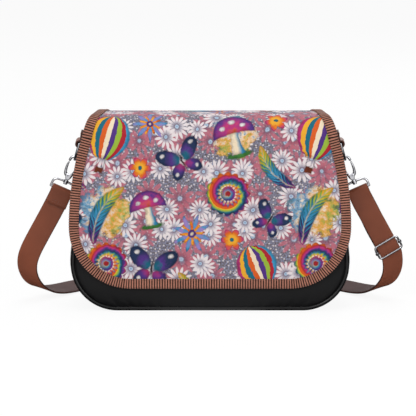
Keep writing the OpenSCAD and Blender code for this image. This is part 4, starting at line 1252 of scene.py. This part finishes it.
def new_group(name, inputs, outputs):
    """Node group with named inputs and outputs; gives the tree, its input node and its output node."""
    tree = bpy.data.node_groups.new(name, "ShaderNodeTree")
    for way, sockets in (("INPUT", inputs), ("OUTPUT", outputs)):
        for label, kind in sockets.items():
            tree.interface.new_socket(label, in_out=way, socket_type="NodeSocket" + kind)
    return tree, tree.nodes.new("NodeGroupInput"), tree.nodes.new("NodeGroupOutput")


def bloom_field():
    """Daisies scattered over the cloth: gives where they are, how far along a petal, and how far from the middle."""
    tree, given, out = new_group(
        "bloom_field",
        {"Place": "Vector", "Cell": "Float", "Radius": "Float", "Petals": "Float", "Shift": "Vector"},
        {"Petal": "Float", "Along": "Float", "Ridge": "Float"},
    )
    moved = add(tree, "VectorMath", {0: given.outputs["Place"], 1: given.outputs["Shift"]})
    cells = add(
        tree, "TexVoronoi", {"Vector": moved, "Scale": ["DIVIDE", 1.0, given.outputs["Cell"]], "Randomness": 0.55},
        voronoi_dimensions="2D",
    )
    local = add(tree, "VectorMath", {0: moved, 1: cells.outputs["Position"]}, operation="SUBTRACT")
    split = add(tree, "SeparateXYZ", {0: local})
    chance = add(tree, "SeparateColor", {0: cells.outputs["Color"]})
    radius = ["MULTIPLY", given.outputs["Radius"], ["MULTIPLY_ADD", chance.outputs[0], 0.3, 0.8]]
    reach = ["DIVIDE", add(tree, "VectorMath", {0: local}, operation="LENGTH").outputs["Value"], radius]
    reach = add(tree, "Math", {0: reach, 1: 0.0}, operation="ADD")
    turn = ["MULTIPLY_ADD", chance.outputs[1], math.tau, ["ARCTAN2", split.outputs[1], split.outputs[0]]]
    lobes = ["ABSOLUTE", ["COSINE", ["MULTIPLY", turn, ["MULTIPLY", given.outputs["Petals"], 0.5]]]]
    lobes = add(tree, "Math", {0: lobes, 1: 0.0}, operation="ADD")
    edge = ["MULTIPLY_ADD", ["POWER", lobes, 0.7], 0.72, 0.28]
    shape = add(tree, "MapRange", {0: ["SUBTRACT", edge, reach], 1: -0.02, 2: 0.10})
    tree.links.new(shape.outputs[0], out.inputs["Petal"])
    tree.links.new(reach.outputs[0], out.inputs["Along"])
    tree.links.new(lobes.outputs[0], out.inputs["Ridge"])
    return tree


def motif_group(name, paint):
    """One motif of the print, painted layer by layer over the colour under it. Only numbers pass through it,
    and each motif waits for the one under it, which keeps the whole print within one material."""
    floats = ("Across", "Along", "Middle across", "Middle along", "Cosine", "Sine", "Ink")
    tree, given, out = new_group(name, {label: "Float" for label in floats} | {"Under": "Color"}, {"Over": "Color"})
    half = sizes().print_tile / 2
    dx, dy = (
        add(tree, "Math", {0: ["SUBTRACT", given.outputs[way], given.outputs[middle]], 1: half, 2: -half},
            operation="WRAP").outputs[0]
        for way, middle in (("Across", "Middle across"), ("Along", "Middle along"))
    )
    cosine, sine = given.outputs["Cosine"], given.outputs["Sine"]
    x = add(tree, "Math", {0: dx, 1: cosine, 2: ["MULTIPLY", dy, sine]}, operation="MULTIPLY_ADD").outputs[0]
    y = add(tree, "Math", {0: ["MULTIPLY", dy, cosine], 1: ["MULTIPLY", dx, sine]}, operation="SUBTRACT").outputs[0]
    r = add(tree, "Math", {0: ["MULTIPLY_ADD", x, x, ["MULTIPLY", y, y]]}, operation="SQRT").outputs[0]
    angle = add(tree, "Math", {0: y, 1: x}, operation="ARCTAN2").outputs[0]
    ink = given.outputs["Ink"]
    under = given.outputs["Under"]
    for field, colour, strength in paint(tree, x, y, r, angle, ink):
        depth = add(tree, "Math", {0: field, 1: 0.0}, operation="ADD")
        mask = add(tree, "MapRange", {0: depth, 1: 0.0, 2: 0.05, 4: strength})
        rim = ["MULTIPLY_ADD", ["SUBTRACT", ink, 0.5], 0.35, depth]
        tone = add(tree, "MapRange", {0: rim, 1: 0.0, 2: 0.16, 3: 0.45, 4: 1.0})
        shown = add(tree, "HueSaturation", {"Color": colour, "Value": tone})
        under = add(tree, "Mix", {0: mask, 6: under, 7: shown}, data_type="RGBA").outputs[2]
    tree.links.new(under, out.inputs["Over"])
    return tree


def lobed(angle, count, low, high, phase=0.0, power=1.0):
    wave = ["ABSOLUTE", ["COSINE", ["MULTIPLY_ADD", angle, count / 2, phase]]]
    return ["MULTIPLY_ADD", ["POWER", wave, power], high - low, low]


def oval(tree, x, y, cx, cy, rx, ry, turn=0.0):
    """Depth inside an oval: its smaller radius at its middle, nought at its edge."""
    c, n = math.cos(turn), math.sin(turn)
    dx, dy = ["SUBTRACT", x, cx], ["SUBTRACT", y, cy]
    u = add(tree, "Math", {0: ["ADD", ["MULTIPLY", dx, c], ["MULTIPLY", dy, n]], 1: rx}, operation="DIVIDE")
    v = add(tree, "Math", {0: ["SUBTRACT", ["MULTIPLY", dy, c], ["MULTIPLY", dx, n]], 1: ry}, operation="DIVIDE")
    span = ["SQRT", ["MULTIPLY_ADD", u.outputs[0], u.outputs[0], ["MULTIPLY", v.outputs[0], v.outputs[0]]]]
    return ["MULTIPLY", ["SUBTRACT", 1.0, span], min(rx, ry)]


def inks(tree, factor, names, interpolation="LINEAR"):
    """Colours of the print that follow each other evenly."""
    stops = [(i / len(names), linear(INK[name])) for i, name in enumerate(names)]
    return add(tree, "ValToRGB", {0: factor}, stops=stops, interpolation=interpolation).outputs[0]


def paint_wash(tree, x, y, r, angle, ink):
    edge = ["MULTIPLY_ADD", ink, 0.9, ["MULTIPLY_ADD", lobed(angle, 5, 0.0, 0.2), 1.0, 0.25]]
    tone = ["MULTIPLY_ADD", ink, 1.2, ["MULTIPLY_ADD", y, 0.35, -0.15]]
    return [(["SUBTRACT", edge, r], inks(tree, tone, ("green", "lime", "gold", "cream", "sky", "teal")), 0.8)]


def paint_star(tree, x, y, r, angle, ink):
    outer = inks(tree, ["MULTIPLY_ADD", ink, 1.4, -0.2], ("teal", "sky", "lilac"))
    inner = inks(tree, ["MULTIPLY_ADD", ink, 1.6, -0.3], ("rust", "orange", "gold"))
    return [
        (["SUBTRACT", lobed(angle, 8, 0.34, 1.0, 0.0, 3.0), r], outer, 1.0),
        (["SUBTRACT", lobed(angle, 8, 0.22, 0.66, math.pi / 2, 3.0), r], inner, 1.0),
        (["SUBTRACT", 0.22, r], linear(INK["violet"]), 1.0),
        (["SUBTRACT", 0.10, r], linear(INK["cream"]), 1.0),
    ]


def paint_blossom(tree, x, y, r, angle, ink):
    tone = ["MULTIPLY_ADD", ink, 0.5, ["MULTIPLY_ADD", r, -0.8, 0.75]]
    return [
        (["SUBTRACT", lobed(angle, 6, 0.55, 1.0, 0.3), r],
         inks(tree, tone, ("violet", "magenta", "orange", "gold")), 1.0),
        (["SUBTRACT", 0.2, r], linear(INK["teal"]), 1.0),
    ]


def paint_butterfly(tree, x, y, r, angle, ink):
    wide = add(tree, "Math", {0: x}, operation="ABSOLUTE").outputs[0]
    upper = oval(tree, wide, y, 0.50, 0.32, 0.58, 0.34, 0.75)
    lower = oval(tree, wide, y, 0.36, -0.38, 0.42, 0.27, -0.8)
    tone = ["MULTIPLY_ADD", ink, 0.5, ["MULTIPLY", r, 0.75]]
    return [
        (lower, inks(tree, tone, ("gold", "orange", "magenta", "violet", "navy")), 1.0),
        (upper, inks(tree, tone, ("cream", "sky", "teal", "violet", "navy")), 1.0),
        (oval(tree, wide, y, 0.66, 0.52, 0.12, 0.10), linear(INK["white"]), 1.0),
        (oval(tree, wide, y, 0.46, -0.46, 0.10, 0.10), linear(INK["white"]), 1.0),
        (oval(tree, x, y, 0.0, 0.0, 0.07, 0.48), linear(INK["dark"]), 1.0),
    ]


def paint_feather(tree, x, y, r, angle, ink):
    bend = add(tree, "Math", {0: x, 1: ["MULTIPLY", ["MULTIPLY", y, y], 0.28]}, operation="SUBTRACT").outputs[0]
    off = add(tree, "Math", {0: bend}, operation="ABSOLUTE").outputs[0]
    width = ["MULTIPLY", ["SQRT", ["MAXIMUM", ["SUBTRACT", 1.0, ["MULTIPLY", y, y]], 0.0]], 0.27]
    barbs = ["MULTIPLY", ["SINE", ["MULTIPLY", ["SUBTRACT", y, ["MULTIPLY", off, 1.6]], 34.0]], 0.09]
    tone = ["ADD", ["MULTIPLY_ADD", y, 0.42, 0.5], barbs]
    return [
        (["SUBTRACT", width, off], inks(tree, tone, ("magenta", "violet", "navy", "sky", "teal", "lime", "gold")), 1.0),
        (["MINIMUM", ["SUBTRACT", 0.04, off], ["SUBTRACT", 0.95, ["ABSOLUTE", y]]], linear(INK["cream"]), 1.0),
    ]


def paint_mandala(tree, x, y, r, angle, ink):
    turn = ["FRACT", ["ADD", ["MULTIPLY_ADD", r, 1.7, ["DIVIDE", angle, math.tau]], ["MULTIPLY", ink, 0.25]]]
    rainbow = ("gold", "lime", "teal", "navy", "violet", "magenta", "crimson", "orange")
    rays = ["SUBTRACT", lobed(angle, 16, 0.25, 0.62), r]
    return [
        (["SUBTRACT", lobed(angle, 16, 0.88, 1.0), r], inks(tree, turn, rainbow), 1.0),
        (rays, inks(tree, ["FRACT", ["MULTIPLY", r, 3.1]], ("white", "gold", "sky", "violet")), 0.7),
        (["SUBTRACT", 0.14, r], linear(INK["crimson"]), 1.0),
    ]


def paint_balloon(tree, x, y, r, angle, ink):
    dome, skirt = (
        ["SUBTRACT", 1.0, ["POWER", ["ABSOLUTE", ["DIVIDE", ["SUBTRACT", y, 0.28], height]], 2.0]]
        for height in (0.70, 0.95)
    )
    high, low = ["SQRT", ["MAXIMUM", dome, 0.0]], skirt
    upper = ["GREATER_THAN", y, 0.28]
    width = add(tree, "Mix", {0: upper, 2: low, 3: high}).outputs[0]
    width = add(tree, "Math", {0: width, 1: 0.70}, operation="MULTIPLY").outputs[0]
    body = ["MINIMUM", ["SUBTRACT", width, ["ABSOLUTE", x]], ["ADD", y, 0.50]]
    gore = ["MULTIPLY_ADD", ["DIVIDE", x, ["MAXIMUM", width, 0.05]], 0.5, 0.5]
    stripes = ("magenta", "gold", "teal", "orange", "cream", "violet", "lime", "crimson", "sky")
    basket = ["MINIMUM", ["SUBTRACT", 0.15, ["ABSOLUTE", x]], ["SUBTRACT", 0.12, ["ABSOLUTE", ["ADD", y, 0.84]]]]
    strand = ["SUBTRACT", 0.03, ["ABSOLUTE", ["SUBTRACT", ["ABSOLUTE", x], 0.12]]]
    ropes = ["MINIMUM", strand, ["SUBTRACT", 0.14, ["ABSOLUTE", ["ADD", y, 0.62]]]]
    return [
        (ropes, linear(INK["dark"]), 1.0),
        (body, inks(tree, gore, stripes, "CONSTANT"), 1.0),
        (basket, linear(INK["rust"]), 1.0),
    ]


def paint_mushroom(tree, x, y, r, angle, ink):
    cap = ["MINIMUM", oval(tree, x, y, 0.0, 0.0, 0.88, 0.80), ["ADD", y, ["MULTIPLY", ["MULTIPLY", x, x], 0.15]]]
    trunk = ["SUBTRACT", ["MULTIPLY_ADD", ["MULTIPLY", y, y], 0.16, 0.20], ["ABSOLUTE", x]]
    stem = ["MINIMUM", trunk, ["MINIMUM", ["SUBTRACT", 0.1, y], ["ADD", y, 0.85]]]
    moss = oval(tree, x, y, 0.0, -0.86, 0.62, 0.16)
    tone = ["MULTIPLY_ADD", ink, 0.6, ["MULTIPLY", r, 0.55]]
    wide = ["ABSOLUTE", x]
    return [
        (moss, linear(INK["green"]), 1.0),
        (stem, inks(tree, ["MULTIPLY_ADD", x, 1.5, 0.5], ("lilac", "cream", "cream", "sky")), 1.0),
        (cap, inks(tree, tone, ("gold", "orange", "magenta", "violet")), 1.0),
        (oval(tree, wide, y, 0.42, 0.28, 0.13, 0.11), linear(INK["white"]), 1.0),
        (oval(tree, x, y, 0.0, 0.48, 0.17, 0.12), linear(INK["white"]), 1.0),
    ]


PAINTS = {
    "wash": paint_wash, "star": paint_star, "blossom": paint_blossom, "butterfly": paint_butterfly,
    "feather": paint_feather, "mandala": paint_mandala, "balloon": paint_balloon, "mushroom": paint_mushroom,
}

# Motif, middle across and along in millimetres, turn in degrees, radius in millimetres
LAYOUT = (
    ("wash", 24, 176, 10, 27), ("mushroom", 24, 178, 14, 25), ("blossom", 66, 192, 20, 12),
    ("balloon", 106, 168, -16, 32), ("feather", 62, 140, 40, 28), ("star", 150, 188, 0, 18),
    ("butterfly", 182, 152, 28, 24), ("blossom", 140, 144, 0, 12), ("mandala", 18, 118, 0, 23),
    ("butterfly", 60, 92, -32, 20), ("wash", 104, 100, 80, 31), ("feather", 100, 100, -28, 33),
    ("mushroom", 148, 104, 12, 22), ("star", 192, 78, -18, 20), ("blossom", 22, 72, 8, 12),
    ("balloon", 50, 38, 22, 30), ("mandala", 106, 48, 0, 22), ("butterfly", 152, 44, -8, 26),
    ("star", 10, 16, 0, 16), ("feather", 196, 22, 62, 24),
)


def make_print(name):
    """Coated canvas with a transfer print of blooms and other motifs, kept in the flap's flat pattern."""
    material, tree, shader = new_material(name)
    c = colours()
    uv = add(tree, "UVMap", uv_map="pattern").outputs[0]
    ink = add(tree, "TexNoise", {"Vector": uv, "Scale": 150.0, "Detail": 4.0, "Roughness": 0.65})
    grain = add(tree, "TexNoise", {"Vector": uv, "Scale": 620.0, "Detail": 2.0})
    uneven = ["MULTIPLY_ADD", ink.outputs[0], 0.5, grain.outputs[0]]
    tone = add(tree, "MapRange", {0: uneven, 1: 0.5, 2: 1.0, 3: 0.5, 4: 1.45})
    fleck = ["MULTIPLY_ADD", grain.outputs[0], 2.4, -0.9]
    ground = add(tree, "Mix", {0: fleck, 6: linear("#6d6266"), 7: c.print_ground}, data_type="RGBA")
    shown = add(tree, "HueSaturation", {"Color": ground.outputs[2], "Value": tone}).outputs[0]
    specks = add(tree, "TexVoronoi", {"Vector": uv, "Scale": 230.0, "Randomness": 0.9}, voronoi_dimensions="2D")
    speck = add(tree, "MapRange", {0: specks.outputs["Distance"], 1: 0.24, 2: 0.12, 4: 0.8})
    shown = add(tree, "Mix", {0: speck, 6: shown, 7: c.bloom_pale}, data_type="RGBA").outputs[2]
    field = bloom_field()
    kinds = (
        (c.bloom_rose, "#84485a", 0.033, 0.0160, 12, (0.0, 0.0, 0.0), 0.76),
        (c.bloom_rose, "#84485a", 0.031, 0.0145, 10, (0.417, 0.233, 0.0), 0.78),
        (c.bloom_pale, "#8f8a97", 0.038, 0.0130, 14, (0.811, 0.507, 0.0), 0.94),
        (c.bloom_pale, "#8f8a97", 0.043, 0.0120, 12, (1.307, 0.911, 0.0), 0.96),
    )
    for colour, deep, cell, radius, petals, shift, strength in kinds:
        given = {"Place": uv, "Cell": cell, "Radius": radius, "Petals": petals, "Shift": shift}
        bloom = add(tree, "Group", given, node_tree=field)
        petal, along = bloom.outputs["Petal"], bloom.outputs["Along"]
        heart = ((0.0, "#7189ab"), (0.11, "#a9bfd2"), (0.17, "#6b5b6c"), (0.27, deep))
        stops = [(place, linear(code)) for place, code in heart] + [(0.55, tuple(colour))]
        dyed = add(tree, "ValToRGB", {0: ["MULTIPLY_ADD", ["SUBTRACT", ink.outputs[0], 0.5], 0.25, along]}, stops=stops)
        ridge = add(tree, "MapRange", {0: bloom.outputs["Ridge"], 1: 0.0, 2: 0.55, 3: 0.68, 4: 1.06})
        dyed = add(tree, "HueSaturation", {"Color": dyed.outputs[0], "Value": ridge}).outputs[0]
        mask = ["MULTIPLY", petal, strength]
        shown = add(tree, "Mix", {0: mask, 6: shown, 7: dyed}, data_type="RGBA").outputs[2]
    # The motifs' outlines waver with the ink, and creep a little where they lie over a bloom
    split = add(tree, "SeparateXYZ", {0: uv})
    waver = ["MULTIPLY", ["SUBTRACT", ink.outputs[0], 0.5], 0.004]
    creep = add(tree, "Math", {0: waver, 1: ["MULTIPLY", petal, 0.0003]})
    places = [add(tree, "Math", {0: split.outputs[i], 1: creep}).outputs[0] for i in (0, 1)]
    groups = {key: motif_group(key, paint) for key, paint in PAINTS.items()}
    for key, across, along, turn, radius in LAYOUT:
        angle = math.radians(turn)
        given = {
            "Across": places[0], "Along": places[1], "Ink": ink, "Under": shown,
            "Middle across": across / 1000, "Middle along": along / 1000,
            "Cosine": math.cos(angle) * 1000 / radius, "Sine": math.sin(angle) * 1000 / radius,
        }
        shown = add(tree, "Group", given, node_tree=groups[key]).outputs["Over"]
    # The weave shows as fine crossing threads
    warp = ["SINE", ["MULTIPLY", split.outputs[0], math.tau / 0.0009]]
    weft = ["SINE", ["MULTIPLY", split.outputs[1], math.tau / 0.0009]]
    bump = add(tree, "Bump", {"Height": ["MULTIPLY", warp, weft], "Distance": 0.00008, "Strength": 0.5})
    surface(tree, shader, shown, bump, Roughness=0.62, Specular_IOR_Level=0.15)
    return material


MAKERS["printed_coated_canvas"] = make_print


# ---------------------------------------------------------------- operators


FIELD_WIDTH = 0.419
CAMERA_RISE = math.radians(9.5)
CAMERA_AIM = Vector((-0.002, -0.02, 0.1005))
LAMP_AIM = Vector((0.0, 0.0, 0.09))
# Name, place, size and power
LAMPS = (
    ("key_lamp", (-0.9, -1.5, 1.5), 1.2, 20.0),
    ("fill_lamp", (1.3, -1.3, 0.9), 1.2, 10.0),
    ("top_lamp", (0.0, 0.2, 1.9), 1.4, 10.0),
    ("back_lamp", (0.4, 1.7, 1.2), 1.2, 8.0),
)


def mirrored_level(tree, share):
    """Brightness that metal mirrors: pale boards where the share is high and black flags where it is low."""
    return add(tree, "MapRange", {0: share, 1: 0.60, 2: 0.80, 3: 0.03, 4: 0.90})


class BAG_OT_stage(bpy.types.Operator):
    """Floor, lamps, world and camera"""

    bl_idname = "bag.stage"
    bl_label = "Stage"

    def execute(self, context):
        scene = context.scene
        scene.view_settings.view_transform = "Standard"
        mesh = bmesh.new()
        bmesh.ops.create_grid(mesh, x_segments=1, y_segments=1, size=3.0)
        bmesh.ops.translate(mesh, verts=mesh.verts[:], vec=(0, 0, -0.0004))
        data = bpy.data.meshes.new("floor")
        mesh.to_mesh(data)
        mesh.free()
        floor = bpy.data.objects.new("floor", data)
        scene.collection.objects.link(floor)
        material, tree, shader = new_material("pale_floor")
        shader.inputs["Base Color"].default_value = linear("#f4f4f4")
        shader.inputs["Roughness"].default_value = 0.9
        rays = add(tree, "LightPath")
        white = add(tree, "Emission", {0: (1, 1, 1, 1), 1: 1.0})
        seen = add(tree, "Math", {0: rays.outputs["Is Camera Ray"], 1: 0.9}, operation="MULTIPLY")
        shown = add(tree, "MixShader", {0: seen, 1: shader.outputs[0], 2: white})
        # Metal mirrors a pale floor in front and behind, and black flags at the sides
        spot = add(tree, "SeparateXYZ", {0: add(tree, "TexCoord").outputs["Object"]})
        u, v = spot.outputs[0], spot.outputs[1]
        away = ["SQRT", ["MULTIPLY_ADD", u, u, ["MULTIPLY", v, v]]]
        ahead = ["ABSOLUTE", ["DIVIDE", v, ["MAXIMUM", away, 0.01]]]
        mirrored = add(tree, "Emission", {0: (1, 1, 1, 1), 1: mirrored_level(tree, ahead)})
        shown = add(tree, "MixShader", {0: rays.outputs["Is Glossy Ray"], 1: shown, 2: mirrored})
        tree.links.new(shown.outputs[0], tree.nodes["Material Output"].inputs[0])
        data.materials.append(material)
        world = bpy.data.worlds.new("studio")
        scene.world = world
        world.use_nodes = True
        tree = world.node_tree
        rays = add(tree, "LightPath")
        # Metal mirrors pale boards in front, behind and above, and black flags between them
        way = add(tree, "SeparateXYZ", {0: add(tree, "TexCoord").outputs["Generated"]})
        boards = ["MAXIMUM", ["ABSOLUTE", way.outputs[1]], ["MULTIPLY", way.outputs[2], 0.8]]
        soft = add(tree, "Mix", {0: rays.outputs["Is Glossy Ray"], 2: 0.55, 3: mirrored_level(tree, boards)})
        level = add(tree, "Mix", {0: rays.outputs["Is Camera Ray"], 2: soft, 3: 1.0})
        tree.links.new(level.outputs[0], tree.nodes["Background"].inputs[1])
        tree.nodes["Background"].inputs[0].default_value = (1, 1, 1, 1)
        for name, place, size, power in LAMPS:
            lamp = bpy.data.lights.new(name, "AREA")
            lamp.shape = "DISK"
            lamp.size = size
            lamp.energy = power
            holder = bpy.data.objects.new(name, lamp)
            scene.collection.objects.link(holder)
            holder.location = place
            holder.rotation_euler = (LAMP_AIM - Vector(place)).to_track_quat("-Z", "Y").to_euler()
        camera = bpy.data.cameras.new("camera")
        camera.lens = 300.0
        camera.sensor_width = 36.0
        camera.clip_end = 50.0
        holder = bpy.data.objects.new("camera", camera)
        scene.collection.objects.link(holder)
        distance = FIELD_WIDTH * camera.lens / camera.sensor_width
        holder.location = CAMERA_AIM + Vector((0, -math.cos(CAMERA_RISE), math.sin(CAMERA_RISE))) * distance
        holder.rotation_euler = (math.pi / 2 - CAMERA_RISE, 0, 0)
        scene.camera = holder
        return {"FINISHED"}


class BAG_OT_body(bpy.types.Operator):
    """Padded panels, gusset, piping and mouth strip"""

    bl_idname = "bag.body"
    bl_label = "Body"

    def execute(self, context):
        make_panel("front_panel_skin", "front_panel", False)
        make_panel("back_panel_skin", "back_panel", True)
        make_gusset()
        make_piping("front_piping_cord", "front_piping", False)
        make_piping("back_piping_cord", "back_piping", True)
        make_mouth_rim()
        return {"FINISHED"}


class BAG_OT_flap(bpy.types.Operator):
    """Printed cover, lining and webbing binding of the flap"""

    bl_idname = "bag.flap"
    bl_label = "Flap"

    def execute(self, context):
        s = sizes()
        thick = s.cover_thickness + s.flap_lining
        over = (thick / 2, COVER_INSET, finish("printed_coated_canvas"), "printed_cover", s.cover_thickness, -1.0)
        under = (-thick / 2, COVER_INSET, finish("woven_flap_lining"), "flap_cloth", s.flap_lining - 0.0001, 1.0)
        front = flap_sheet("flap_cover_front", "front", *over)
        rear = flap_sheet("flap_cover_rear", "rear", *over)
        lining = flap_sheet("flap_lining_front", "front", *under)
        top = flap_sheet("flap_lining_rear", "rear", *under)
        edge = flap_binding("front", "flap_binding_front")
        edge_rear = flap_binding("rear", "flap_binding_rear")
        for piece, part in ((front, "front"), (rear, "rear"), (lining, "front"), (top, "rear")):
            flap_joins(piece, part)
        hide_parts("flap_cover")
        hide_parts("crown_cover", "tail_cover")
        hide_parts("flap_lining")
        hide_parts("crown_lining")
        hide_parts("flap_binding")
        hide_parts("crown_binding", "tail_binding")
        return {"FINISHED"}


class BAG_OT_strap(bpy.types.Operator):
    """Strap with its folded ends, and the tabs"""

    bl_idname = "bag.strap"
    bl_label = "Strap and tabs"

    def execute(self, context):
        make_strap()
        make_tabs()
        return {"FINISHED"}


class BAG_OT_hardware(bpy.types.Operator):
    """Snap hooks, and the finishes of the other rigid parts"""

    bl_idname = "bag.hardware"
    bl_label = "Hardware"

    def execute(self, context):
        make_hooks()
        dress_nodes()
        return {"FINISHED"}


class BAG_PT_panel(bpy.types.Panel):
    """Operators and values of the bag"""

    bl_idname = "BAG_PT_panel"
    bl_label = "Shoulder Bag"
    bl_space_type = "VIEW_3D"
    bl_region_type = "UI"
    bl_category = "Bag"

    def draw(self, context):
        for item in OPERATORS:
            self.layout.operator(item.bl_idname)
        for group in (context.scene.bag_sizes, context.scene.bag_colours):
            box = self.layout.box()
            for key in group.__annotations__:
                box.prop(group, key)


OPERATORS = (BAG_OT_stage, BAG_OT_body, BAG_OT_flap, BAG_OT_strap, BAG_OT_hardware)
CLASSES = (BagSizes, BagColours) + OPERATORS + (BAG_PT_panel,)


def register():
    for item in CLASSES:
        bpy.utils.register_class(item)
    bpy.types.Scene.bag_sizes = bpy.props.PointerProperty(type=BagSizes)
    bpy.types.Scene.bag_colours = bpy.props.PointerProperty(type=BagColours)


def unregister():
    del bpy.types.Scene.bag_colours
    del bpy.types.Scene.bag_sizes
    for item in reversed(CLASSES):
        bpy.utils.unregister_class(item)


def main():
    register()
    bpy.ops.bag.stage()
    bpy.ops.bag.body()
    bpy.ops.bag.flap()
    bpy.ops.bag.strap()
    bpy.ops.bag.hardware()


if __name__ == "__main__":
    main()
